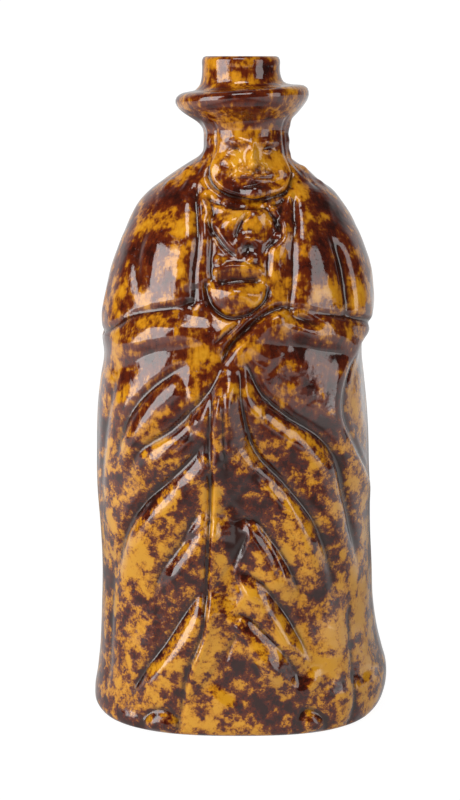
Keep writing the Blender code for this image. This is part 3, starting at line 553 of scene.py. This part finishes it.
def round_level(up, radius):
    return [up, radius, radius, radius, radius, 2.0]


def crown_levels():
    """The hat's crown, which is also the rim of the mouth, from its flared foot to its flat top."""
    radius = MOUTH_RADIUS + RIM_WALL
    foot = BRIM[-1][0] / 100 * HEIGHT
    crown = HEIGHT - foot
    rows = [round_level(foot + share * crown, radius + flare) for share, flare in CROWN_FLARE]
    for turn in (10, 35, 60, 90):
        bend = math.radians(turn)
        up = HEIGHT - CROWN_EDGE + CROWN_EDGE * math.sin(bend)
        rows.append(round_level(up, radius - CROWN_EDGE + CROWN_EDGE * math.cos(bend)))
    return rows


def outside_levels():
    """The levels of the outside, close together, from the foot to the edge of the flat top."""
    knots = np.vstack([in_metres(FORM), in_metres(BRIM), crown_levels()])
    run = run_of(knots)
    head = run[[row[0] for row in FORM].index(HEAD_FOOT)]
    brim = run[len(FORM) - 1]
    places = np.concatenate(
        [
            np.linspace(0, head, BODY_RINGS, endpoint=False),
            np.linspace(head, brim, HEAD_RINGS, endpoint=False),
            np.linspace(brim, run[-1], HAT_RINGS),
        ]
    )
    levels = smooth_through(knots, places, run)
    levels[0, 0] = 0
    levels[-1, 0] = HEIGHT
    return levels


def place(level, turn):
    """Points on levels, `turn` round from the front towards the figure's left."""
    left, right, front, back, square = (level[..., k] for k in range(1, 6))
    across, deep = (left + right) / 2, (front + back) / 2
    x, y = np.sin(turn), -np.cos(turn)
    size = (np.abs(x) ** square + np.abs(y) ** square) ** (-1 / square)
    parts = ((right - left) / 2 + across * size * x, (back - front) / 2 + deep * size * y, level[..., 0])
    return np.stack(np.broadcast_arrays(*parts), axis=-1)


def with_head(points):
    """Points of the body, moved out to the head where it stands out further."""
    head = level_at(in_metres(HEAD), points[..., 2])
    middle = np.stack([(head[..., 2] - head[..., 1]) / 2, (head[..., 4] - head[..., 3]) / 2], axis=-1)
    halves = np.stack([(head[..., 1] + head[..., 2]) / 2, (head[..., 3] + head[..., 4]) / 2], axis=-1)
    radius = np.linalg.norm(points[..., :2], axis=-1)
    toward = points[..., :2] / radius[..., None] / halves
    offset = -middle / halves
    a = (toward**2).sum(axis=-1)
    b = (toward * offset).sum(axis=-1)
    c = (offset**2).sum(axis=-1) - 1
    reach = (np.sqrt(np.maximum(b * b - a * c, 0)) - b) / a
    up = points[..., 2] / HEIGHT * 100
    round_off = HEAD_JOIN * CUT * (1 - ramp(up, *JOIN_OUT))
    joined = (reach + radius + np.sqrt((reach - radius) ** 2 + round_off**2)) / 2
    share = ramp(up, *HEAD_IN) * (1 - ramp(up, *HEAD_OUT))
    moved = points.copy()
    moved[..., :2] *= (1 + (joined / radius - 1) * share)[..., None]
    return moved


def level_at(levels, up):
    """The levels at heights given in metres."""
    return np.stack([np.interp(up, levels[:, 0], levels[:, k]) for k in range(6)], axis=-1)


def unit(vectors):
    return vectors / np.linalg.norm(vectors, axis=-1, keepdims=True)


class Skin:
    """The outside as a net of points, rings from the foot to the mouth and steps round each ring."""

    def __init__(self, levels, steps):
        self.levels = levels
        even = np.arange(steps) * 2 * math.pi / steps
        self.turn = even - FRONT_CLOSER * np.sin(even)
        self.plain = with_head(place(levels[:, None, :], self.turn[None, :]))
        self.points = self.plain.copy()
        self.relief = np.zeros(self.plain.shape[:2])

    def normals(self):
        along = np.roll(self.points, -1, axis=1) - np.roll(self.points, 1, axis=1)
        return unit(np.cross(along, np.gradient(self.points, axis=0)))

    def push(self, height):
        """Moves the surface out by the heights, but not the flat underside nor the crown."""
        up = self.plain[..., 2] / HEIGHT * 100
        height = smoothed(height) * ramp(up, *CARVED_IN) * (1 - ramp(up, *CARVED_OUT))
        self.relief += height
        move = self.normals() * height[..., None]
        move[..., 2] *= ramp(up, *LIFTED_IN)
        self.points += move

    def spot(self, turn, up):
        """Points of the plain form at degrees round from the front and percent of the height."""
        return with_head(place(level_at(self.levels, np.asarray(up) / 100 * HEIGHT), np.radians(turn)))

    def directions(self, turn, up):
        """A spot, and the directions across and up the surface there."""
        across = self.spot(turn + 1, up) - self.spot(turn - 1, up)
        rise = self.spot(turn, up + 0.4) - self.spot(turn, up - 0.4)
        return self.spot(turn, up), unit(across), unit(rise)

    def knob(self, turn, up, wide, tall, height, lean=0.0):
        """Heights of one rounded knob, or hollow where its height is below 0."""
        here, across, rise = self.directions(turn, up)
        away = self.plain - here
        x, y = away @ across, away @ rise
        bend = math.radians(lean)
        u = (x * math.cos(bend) + y * math.sin(bend)) / wide
        v = (y * math.cos(bend) - x * math.sin(bend)) / tall
        near = np.linalg.norm(away, axis=-1) < 3.5 * max(wide, tall)
        return np.where(near, height * hill(u) * hill(v), 0)

    def drawn(self, spots):
        """Points of a line through its spots, the way it runs, and the way to its side."""
        spots = np.array(spots, float)
        step = np.diff(spots, axis=0) * [DEGREE_LONG, PERCENT_LONG]
        along = np.concatenate([[0], np.cumsum(np.hypot(step[:, 0], step[:, 1]))])
        turn, up = smooth_through(spots, np.linspace(0, along[-1], LINE_POINTS), along).T
        line = self.spot(turn, up)
        ahead = np.gradient(line, axis=0)
        across, rise = self.spot(turn + 1, up) - line, self.spot(turn, up + 0.4) - line
        return line, ahead, np.cross(unit(ahead), unit(np.cross(across, rise)))

    def stroke(self, shape, spots):
        """Heights of one line: a crease, the swell on one side of it and the rise on the other."""
        side, crease, width, lift, spread, far, far_spread, lead, tail = shape
        if crease > 0 and width > CREASE_WIDTH:
            crease, width = crease * CREASE_SHARE, width * CREASE_SHARE
        line, ahead, beside = self.drawn(spots)
        reach = 5 * max(spread, far_spread, width) * CUT
        low, high = line.min(axis=0) - reach, line.max(axis=0) + reach
        near = np.all((self.plain > low) & (self.plain < high), axis=-1)
        away = self.plain[near][:, None, :] - line[None, :, :]
        closest = np.argmin((away**2).sum(axis=-1), axis=1)
        away = away[np.arange(len(away)), closest]
        aside = (away * beside[closest]).sum(axis=1) * side / CUT
        onward = (away * unit(ahead)[closest]).sum(axis=1)
        length = np.linalg.norm(ahead, axis=1)
        share = (closest + onward / length[closest]) / (len(line) - 1)
        past = np.maximum(np.maximum(share - 1, -share), 0) * (len(line) - 1) * length.mean()
        fade = hill(past / (LINE_FADE * width * CUT))
        if lead:
            fade = fade * soft(share / lead)
        if tail:
            fade = fade * soft((1 - share) / tail)
        full = ramp(spread, NARROW_SWELL, FULL_SWELL)
        rise = CREST + FULL_CREST * full
        spread, lift = spread * (1 + FULL_BROADER * full), lift * (1 + FULL_HIGHER * full)
        height = lift * swell(aside / spread, rise) + far * swell(-aside / far_spread, rise)
        height = (height - crease * hill(aside / width)) * CUT
        heights = np.zeros(near.shape)
        heights[near] = np.where(np.linalg.norm(away, axis=1) < reach, height * fade, 0)
        return heights

    def carve_lines(self, rows):
        self.push(sum(self.stroke(shape, spots) for shape, spots in rows))

    def carve_knobs(self, rows):
        heights = 0
        for turn, up, wide, tall, height, lean in rows:
            heights = heights + self.knob(turn, up, wide * CUT, tall * CUT, height * CUT, lean)
        self.push(heights)

    def on_face(self, across, up, side):
        """Degrees round and percent up of a place that is given in shares of the face."""
        radius = level_at(self.levels, EYE_LINE / 100 * HEIGHT)[1:5].mean()
        turn = FACE_TURN + side * math.degrees(across * FACE_TALL / radius)
        return turn, EYE_LINE + up * (EYE_LINE - CHIN)

    def carve_face(self, rows):
        heights = 0
        for across, up, wide, tall, height in rows:
            size = np.array([wide, tall, height * FACE_RELIEF]) * FACE_TALL
            for side in (-1, 1) if across else (1,):
                heights = heights + self.knob(*self.on_face(across, up, side), *size)
        self.push(heights)

    def carve_face_lines(self, rows):
        for sizes, spots in rows:
            sizes = [size * FACE_TALL / CUT for size in sizes]
            for side in (-1, 1):
                line = [self.on_face(across, up, side) for across, up in spots]
                self.push(self.stroke((-side, *sizes, 0, 1, FACE_ENDS, FACE_ENDS), line))

    def carve_hair(self):
        """Locks and grooves in rows down both temples."""
        rows = []
        for side in (-1, 1):
            for k in range(HAIR_ROWS):
                up = EYE_LINE + HAIR_TOP - k * HAIR_STEP
                for at, wide, tall, height, lean in HAIR:
                    rows.append((FACE_TURN + side * at, up, wide, tall, height, side * lean))
        self.carve_knobs(rows)

    def carve_shoes(self):
        """Two toes under the hem, each a rounded cap with a groove over it."""
        heights = 0
        for at, wide, tall in TOES:
            here, across, rise = self.directions(at, TOE_UP)
            away = self.plain - here
            span = np.hypot(away @ across / (wide * CUT), away @ rise / (tall * CUT))
            cap = TOE_HEIGHT * (1 - ramp(span, *TOE_EDGE))
            cap = cap - TOE_GROOVE * hill((span - TOE_GROOVE_AT) / TOE_GROOVE_WIDTH)
            near = np.linalg.norm(away, axis=-1) < TOE_REACH * CUT
            heights = heights + np.where(near, cap * CUT, 0)
        self.push(heights)

    def tilt_brim(self):
        """Lifts the brim at the figure's left and drops it at the right."""
        up = self.plain[..., 2] / HEIGHT * 100
        share = ramp(up, *TILT_IN) * (1 - ramp(up, *TILT_OUT))
        self.points[..., 2] += self.points[..., 0] * BRIM_TILT * share

    def carve(self):
        self.carve_knobs(MASSES)
        self.carve_face(FACE)
        self.carve_lines(LAYERS)
        self.carve_lines(FOLDS)
        for at, top, foot, depth in DROPS:
            beside = depth * DROP_SHARE
            shape = (1, depth, 2.2, beside, 4.5, beside, 4.5, 0.35, 0.1)
            self.carve_lines([(shape, [(at, top), (at + 1, (top + foot) / 2), (at, foot)])])
        self.carve_knobs(DETAILS)
        self.carve_lines(STROKES)
        self.carve_hair()
        self.carve_face(FACE_DETAILS)
        self.carve_face_lines(FACE_LINES)
        self.carve_shoes()
        self.tilt_brim()

    def below(self, passes):
        """How far each point lies below the surface around it, which is wider with more passes."""
        around = self.relief
        for _ in range(passes):
            around = smoothed(around)
        return (around - self.relief) / CUT

    def patches(self, rows):
        """How much more amber there is than the chance spread has, less where it is below 0."""
        more = 0
        for turn, up, wide, tall, amount, lean in rows:
            more = more + self.knob(turn, up, wide * CUT, tall * CUT, amount, lean)
        return more


# The inside looks this far round, as a share of the way round, and this far up and down, as a share
# of the height, for the deepest of the carving. A wall is thicker along the level where it slopes,
# up to this slope.
LOOK_ROUND = 0.025
LOOK_UP = 0.012
STEEPEST = 3


class Hollow:
    """The inside, which follows the deepest of the carving at the thickness of the wall."""

    def __init__(self, skin):
        self.skin = skin
        plain = np.linalg.norm(skin.plain[..., :2], axis=-1)
        carved = np.linalg.norm(skin.points[..., :2], axis=-1)
        reach = max(1, round(len(skin.turn) * LOOK_ROUND))
        least = np.min([np.roll(carved, k, axis=1) for k in range(-reach, reach + 1)], axis=0)
        weights = np.hanning(4 * reach + 3)[1:-1]
        weights /= weights.sum()
        half = len(weights) // 2
        share = np.minimum(least / plain, 1)
        self.share = sum(weight * np.roll(share, k - half, axis=1) for k, weight in enumerate(weights))
        heights = skin.levels[:, 0] + np.arange(len(skin.levels)) * 1e-9
        slope = np.gradient(skin.levels[:, 1:5].mean(axis=1), heights)
        self.thick_and_shade = WALL * np.sqrt(1 + np.clip(slope, -STEEPEST, STEEPEST) ** 2)

    def ring(self, up, inset=0.0, shrink=1.0):
        """The ring of the cavity at a height, drawn in by the inset and then shrunk."""
        levels = self.skin.levels
        centre = np.array([0, 0, up])
        out = with_head(place(level_at(levels, up), self.skin.turn)) - centre
        radius = np.linalg.norm(out, axis=-1)
        nearby = self.share[np.abs(levels[:, 0] - up) < LOOK_UP * HEIGHT].min(axis=0)
        wall = np.interp(up, levels[:, 0], self.thick_and_shade)
        want = (np.maximum(radius * nearby - wall, MOUTH_RADIUS) - inset) * shrink
        return centre + out / radius[:, None] * want[:, None]

    def rings(self):
        """From the lip down the bore and the cavity to the middle of the floor."""
        turn = self.skin.turn
        rings = []
        for angle in (0, 30, 60, 90):
            bend = math.radians(angle)
            up = HEIGHT - LIP_ROUND + LIP_ROUND * math.cos(bend)
            radius = MOUTH_RADIUS + LIP_ROUND - LIP_ROUND * math.sin(bend)
            rings.append(place(np.array(round_level(up, radius)), turn))
        top = HEIGHT - LIP_ROUND
        foot = BRIM[1][0] / 100 * HEIGHT
        for share in np.linspace(0, 1, BORE_RINGS)[1:]:
            rings.append(place(np.array(round_level(top + (foot - top) * share, MOUTH_RADIUS)), turn))
        low = FLOOR + CAVITY_CORNER
        for up in np.linspace(FORM[-1][0] / 100 * HEIGHT, low, CAVITY_RINGS):
            rings.append(self.ring(up))
        for angle in (25, 50, 75, 90):
            bend = math.radians(angle)
            ring = self.ring(low, CAVITY_CORNER * (1 - math.cos(bend)))
            ring[:, 2] = low - CAVITY_CORNER * math.sin(bend)
            rings.append(ring)
        for shrink in (0.6, 0.25, 0.0):
            ring = self.ring(low, CAVITY_CORNER, shrink)
            ring[:, 2] = FLOOR
            rings.append(ring)
        return rings


# Glaze pools in narrow creases and thickens in the valleys between the folds, and the darkening there
# is partly painted shade. Each looks over an area of so many passes of smoothing, and is full at so
# far below it, in the unit of the carving.
POOL_AND_SHADE_PASSES = 5
POOL_AND_SHADE_DEPTHS = (0.04, 0.46)
VALLEY_PASSES = 80
VALLEY_DEPTH = 1.8


def all_rings():
    """Every ring of points, from the middle of the underside round to the middle of the floor.

    With them come the marks that the glaze reads, which are blank on the underside and inside.
    """
    skin = Skin(outside_levels(), ROUND_STEPS)
    skin.carve()
    skin.points[0, :, 2] = 0
    skin.points[..., 2] = np.maximum(skin.points[..., 2], 0)
    under = [skin.points[0] * share for share in (0.0, 0.35, 0.7)]
    inner = Hollow(skin).rings()
    marks = {
        # The pool mark darkens narrow creases and the valley mark darkens the wider valleys, partly as
        # pooled glaze and partly as painted shade. The valley mark is below 0 on the crests.
        "pool": ramp(skin.below(POOL_AND_SHADE_PASSES), *POOL_AND_SHADE_DEPTHS),
        "valley": np.clip(skin.below(VALLEY_PASSES) / VALLEY_DEPTH, -1, 1),
        "amber": skin.patches(AMBER),
    }
    blank = [(len(under), len(inner)), (0, 0)]
    rings = np.array(under + list(skin.points) + inner)
    return rings, {name: np.pad(mark, blank) for name, mark in marks.items()}


def casting():
    """A ball whose rings are drawn to the flask's rings, so that it is closed, inside and out."""
    rings, marks = all_rings()
    work = bmesh.new()
    last = len(rings) - 1
    bmesh.ops.create_uvsphere(work, u_segments=ROUND_STEPS, v_segments=last, radius=1)
    layers = {name: work.verts.layers.float.new(name) for name in marks}
    for vert in work.verts:
        ring = round(math.acos(max(-1, min(1, -vert.co.z))) / math.pi * last)
        step = round(math.atan2(vert.co.x, -vert.co.y) / (2 * math.pi) * ROUND_STEPS) % ROUND_STEPS
        vert.co = rings[ring, step]
        for name, layer in layers.items():
            vert[layer] = marks[name][ring, step]
    mesh = bpy.data.meshes.new("glazed_casting")
    work.to_mesh(mesh)
    work.free()
    mesh.shade_smooth()
    return bpy.data.objects.new("glazed_casting", mesh)


class Value:
    """The output of a node. Arithmetic on it adds the nodes that work it out."""

    def __init__(self, finish, socket):
        self.finish = finish
        self.socket = socket

    def _with(self, operation, *others):
        inputs = dict(enumerate((self, *others)))
        return self.finish.node("ShaderNodeMath", {"operation": operation}, inputs)

    def __add__(self, other):
        return self._with("ADD", other)

    __radd__ = __add__

    def __mul__(self, other):
        return self._with("MULTIPLY", other)

    __rmul__ = __mul__

    def __sub__(self, other):
        return self._with("SUBTRACT", other)

    def __rsub__(self, other):
        return self * -1 + other

    def __truediv__(self, other):
        return self._with("DIVIDE", other)

    def most(self, other):
        return self._with("MAXIMUM", other)


class Finish:
    """The nodes of a material or of the world, and the ways to add to them."""

    def __init__(self, owner):
        owner.use_nodes = True
        self.owner = owner
        self.nodes = owner.node_tree.nodes
        self.links = owner.node_tree.links
        self.shader = self.nodes.get("Principled BSDF")

    def node(self, kind, settings=None, inputs=None, output=0):
        made = self.nodes.new(kind)
        for name, value in (settings or {}).items():
            if name == "stops":
                ramp = made.color_ramp
                while len(ramp.elements) < len(value):
                    ramp.elements.new(0.5)
                for element, (place, colour) in zip(ramp.elements, value):
                    element.position = place
                    element.color = (*colour, 1)
            else:
                setattr(made, name, value)
        for name, value in (inputs or {}).items():
            self.feed(made.inputs[name], value)
        return Value(self, made.outputs[output])

    def feed(self, socket, value):
        if isinstance(value, Value):
            self.links.new(value.socket, socket)
        else:
            socket.default_value = value

    def plain(self, **values):
        for name, value in values.items():
            self.shader.inputs[name.replace("_", " ")].default_value = value

    def noise(self, at, size, detail=2.0, roughness=0.5, distortion=0.0):
        """Noise from 0 to 1, with features of about a size in metres."""
        inputs = {"Vector": at, "Scale": 1 / size, "Detail": detail}
        inputs.update({"Roughness": roughness, "Distortion": distortion})
        return self.node("ShaderNodeTexNoise", None, inputs)

    def step(self, value, low, high):
        """Rises smoothly from 0 to 1 as the value goes from low to high."""
        inputs = {"Value": value, "From Min": low, "From Max": high}
        return self.node("ShaderNodeMapRange", {"interpolation_type": "SMOOTHSTEP"}, inputs)

    def stretched(self, at, scale):
        return self.node("ShaderNodeMapping", None, {"Vector": at, "Scale": scale})

    def mark(self, name):
        return self.node("ShaderNodeAttribute", {"attribute_name": name}, output="Fac")

    def between(self, share, first, second):
        settings = {"data_type": "RGBA"}
        return self.node("ShaderNodeMix", settings, {0: share, 6: first, 7: second}, output=2)


# Sizes of the glaze's features, in metres: patches and blotches of amber, the runs of the upper
# half and the sponging of the lower, specks, clouds in the colour, ripples, pits and dull areas
PATCH = 0.0105
BLOTCH = 0.0046
RUN = 0.0014
SPONGE = 0.0015
SPECK = 0.00065
CLOUD = 0.0021
RIPPLE = 0.0080
PIT = 0.0011
DULL = 0.0060
# How much the runs' pattern is squeezed along the height, which draws them out downwards
RUN_DRAWN = 0.22
# Shares of the height over which the runs turn into sponging, and over which the amber of the foot
# comes in
SPONGED = (0.58, 0.38)
FOOT_PALER = (0.38, 0.24)
# How much amber there is on the whole, and where its edge is thick enough to stand up
AMBER_LEVEL = 0.453
AMBER_EDGE = (0.45, 0.53)
# Heights of the ripples, the pits and the amber's edge, in metres
RIPPLE_HIGH = 0.00042
PIT_DEEP = 0.00004
AMBER_HIGH = 0.00002
# Colours of the glaze from the darkest brown to the palest amber, by how much amber there is
TONES = [
    (0.04, (0.030, 0.0036, 0.0012)),
    (0.24, (0.082, 0.0088, 0.0016)),
    (0.40, (0.140, 0.0185, 0.0018)),
    (0.47, (0.215, 0.0470, 0.0028)),
    (0.52, (0.345, 0.1080, 0.0036)),
    (0.58, (0.520, 0.1860, 0.0046)),
    (0.68, (0.670, 0.2620, 0.0070)),
    (0.85, (0.780, 0.3550, 0.0160)),
]
# The near-black that is mixed into creases and valleys, for pooled glaze and for painted shade
POOLED_AND_SHADE = (0.020, 0.0080, 0.0040, 1)


def mottled_glaze():
    """Brown glaze with amber sponged and run into it, dark in the creases and valleys as pooled glaze
    and painted shade.
    """
    glaze = Finish(bpy.data.materials.new("mottled_glaze"))
    at = glaze.node("ShaderNodeTexCoord", output="Object")
    up = glaze.node("ShaderNodeSeparateXYZ", None, {0: at}, output=2) / HEIGHT
    low = glaze.step(up, *SPONGED)
    pool = glaze.mark("pool")
    valley = glaze.mark("valley")

    # How much amber there is at each place
    patch = glaze.noise(at, PATCH, 1.0, 0.5, 0.5) - 0.5
    blotch = glaze.noise(at, BLOTCH, 2.0, 0.55, 0.3) - 0.5
    run = glaze.noise(glaze.stretched(at, (1, 1, RUN_DRAWN)), RUN, 3, 0.60, 0.2) - 0.5
    sponge = glaze.noise(at, SPONGE, 4, 0.74) - 0.5
    ragged = run * (1 - low) * 0.75 + sponge * low * 0.95
    amber = patch * 1.15 + blotch * 1.3 + ragged + glaze.mark("amber") * 0.85
    amber = amber * (0.72 + low * 0.55) + AMBER_LEVEL + glaze.step(up, *FOOT_PALER) * 0.055
    # Less amber in the creases and valleys, partly as pooled glaze and partly as painted shade, and a
    # little more on the crests
    amber = amber - pool * 0.08 - valley * 0.09

    # The colour, clouded and specked, and darker in the creases and valleys, partly where the glaze lies
    # thick and partly as painted shade
    specks = glaze.step(glaze.noise(at, SPECK, 1, 0.6), 0.57, 0.63) * (low * 0.8 + 0.2)
    cloud = glaze.noise(at, CLOUD, 4, 0.66) - 0.5
    tone = amber + cloud * 0.46 - specks * 0.13
    colour = glaze.node("ShaderNodeValToRGB", {"stops": TONES}, {0: tone})
    thick_and_shade = (pool * 0.72).most(valley * 0.42)
    glaze.feed(glaze.shader.inputs["Base Color"], glaze.between(thick_and_shade, colour, POOLED_AND_SHADE))

    rough = glaze.noise(at, DULL, 3, 0.6) * 0.08 + specks * 0.06 + 0.04
    glaze.feed(glaze.shader.inputs["Roughness"], rough)

    pits = glaze.step(glaze.noise(at, PIT, 1, 0.5), 0.70, 0.78)
    relief = glaze.noise(at, RIPPLE, 2.5, 0.5) * RIPPLE_HIGH - pits * PIT_DEEP
    relief = relief + glaze.step(amber, *AMBER_EDGE) * AMBER_HIGH
    bump = glaze.node("ShaderNodeBump", None, {"Height": relief, "Distance": 1.0, "Strength": 1.0})
    glaze.feed(glaze.shader.inputs["Normal"], bump)
    glaze.plain(IOR=1.62, Coat_Weight=0.5, Coat_Roughness=0.045, Coat_IOR=1.5)
    return glaze.owner


# How bright the floor is: to the camera, and as the glaze reflects it close to the flask, at the
# sides and elsewhere. FLOOR_REACH is how far from the flask that goes, in metres.
FLOOR_SEEN = 0.96
FLOOR_NEAR = 0.36
FLOOR_BRIGHT = 0.70
FLOOR_DIM = 0.06
FLOOR_REACH = 0.36
FLOOR_RADIUS = 4.0


def floor():
    """The pale surface that the flask stands on. It glows like a lamp: almost white to the camera, and,
    as the flask sees it, bright at either side, less bright close to the flask and dim elsewhere.
    """
    work = bmesh.new()
    bmesh.ops.create_circle(work, cap_ends=True, segments=96, radius=FLOOR_RADIUS)
    mesh = bpy.data.meshes.new("floor")
    work.to_mesh(mesh)
    work.free()
    plane = bpy.data.objects.new("floor", mesh)
    pale = Finish(bpy.data.materials.new("pale_floor"))
    pale.plain(Base_Color=(0.12, 0.12, 0.12, 1), Roughness=0.9, Emission_Color=(1, 1, 1, 1))
    at = pale.node("ShaderNodeTexCoord", output="Object")
    away = pale.node("ShaderNodeVectorMath", {"operation": "LENGTH"}, {0: at}, output="Value")
    across = pale.node("ShaderNodeSeparateXYZ", None, {0: at}, output=0)
    aside = pale.step(across.most(across * -1), FLOOR_REACH * 0.30, FLOOR_REACH * 0.95)
    near = pale.step(away, FLOOR_REACH, FLOOR_REACH * 0.3) * (FLOOR_NEAR / FLOOR_BRIGHT)
    glow = near.most(aside) * (FLOOR_BRIGHT - FLOOR_DIM) + FLOOR_DIM
    seen = pale.node("ShaderNodeLightPath", output="Is Camera Ray")
    white = pale.step(away, FLOOR_REACH, FLOOR_REACH * 3) * (1 - FLOOR_SEEN) + FLOOR_SEEN
    pale.feed(pale.shader.inputs["Emission Strength"], glow + seen * (white - glow))
    mesh.materials.append(pale.owner)
    bpy.context.scene.collection.objects.link(plane)


def soft_light(name, round_from_front, up, away, wide, tall, glow, reflected=True):
    """A soft box that faces the flask. Degrees round from the front towards +X, and degrees up."""
    data = bpy.data.lights.new(name, "AREA")
    data.shape = "RECTANGLE"
    data.size = wide
    data.size_y = tall
    data.energy = glow * wide * tall * math.pi
    lamp = bpy.data.objects.new(name, data)
    lamp.visible_camera = False
    lamp.visible_glossy = reflected
    bpy.context.scene.collection.objects.link(lamp)
    turn, rise = math.radians(round_from_front), math.radians(up)
    level = math.cos(rise)
    out = mathutils.Vector((level * math.sin(turn), -level * math.cos(turn), math.sin(rise)))
    lamp.location = mathutils.Vector((0, 0, HEIGHT / 2)) + out * away
    lamp.rotation_euler = (-out).to_track_quat("-Z", "Y").to_euler()


# How far back a way has to point for the room to turn from dim to bright, and how dim and bright it
# is in the glaze and to the camera
ROOM_BACK = (0.30, 0.75)
ROOM_REFLECTED = (0.05, 0.60)
ROOM_SEEN = (0.50, 1.05)


def room():
    """The world, which is white behind the flask and dim elsewhere."""
    walls = Finish(bpy.data.worlds.new("room"))
    walls.nodes.remove(walls.nodes["Background"])
    toward = walls.node("ShaderNodeTexCoord", output="Generated")
    back = walls.step(walls.node("ShaderNodeSeparateXYZ", None, {0: toward}, output="Y"), *ROOM_BACK)
    seen = walls.node("ShaderNodeLightPath", output="Is Camera Ray")
    shades = {0: seen}
    for place, (dim, bright) in enumerate((ROOM_REFLECTED, ROOM_SEEN), 1):
        inputs = {"Color": (1, 1, 1, 1), "Strength": back * (bright - dim) + dim}
        shades[place] = walls.node("ShaderNodeBackground", None, inputs)
    mixed = walls.node("ShaderNodeMixShader", None, shades)
    walls.feed(walls.nodes["World Output"].inputs["Surface"], mixed)
    bpy.context.scene.world = walls.owner


def studio():
    """Four soft boxes, the last of which the glaze doesn't reflect, and the room."""
    soft_light("left_box", -58, 15, 1.3, 0.84, 1.25, 4.0)
    soft_light("right_box", 56, 13, 1.4, 0.56, 1.15, 2.0)
    soft_light("top_box", -8, 60, 1.5, 0.60, 0.50, 4.4)
    soft_light("fill_box", -12, 24, 1.5, 0.90, 0.90, 1.8, reflected=False)
    room()
    bpy.context.scene.view_settings.view_transform = "Standard"


# The camera's place in shares of the flask's height, and the photograph's frame in pixels
CAMERA_AWAY = 2.9
CAMERA_UP = 1.0
CAMERA_DOWN = 9.782
PHOTO_TALL = 800
FOCAL_PIXELS = 1915.5
MIDDLE_RIGHT = -11
MIDDLE_UP = -13.74


def camera():
    data = bpy.data.cameras.new("camera")
    view = bpy.data.objects.new("camera", data)
    bpy.context.scene.collection.objects.link(view)
    bpy.context.scene.camera = view
    data.lens = data.sensor_width * FOCAL_PIXELS / PHOTO_TALL
    data.shift_x = MIDDLE_RIGHT / PHOTO_TALL
    data.shift_y = MIDDLE_UP / PHOTO_TALL
    data.clip_start = 0.01
    view.location = (0, -CAMERA_AWAY * HEIGHT, CAMERA_UP * HEIGHT)
    view.rotation_euler = (math.pi / 2 - math.radians(CAMERA_DOWN), 0, 0)


def main():
    flask = casting()
    bpy.context.scene.collection.objects.link(flask)
    flask.data.materials.append(mottled_glaze())
    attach(flask, "root")
    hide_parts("flask")
    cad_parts["flask"].data.materials.clear()
    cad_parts["flask"].data.materials.append(flask.data.materials[0])
    floor()
    studio()
    camera()


main()
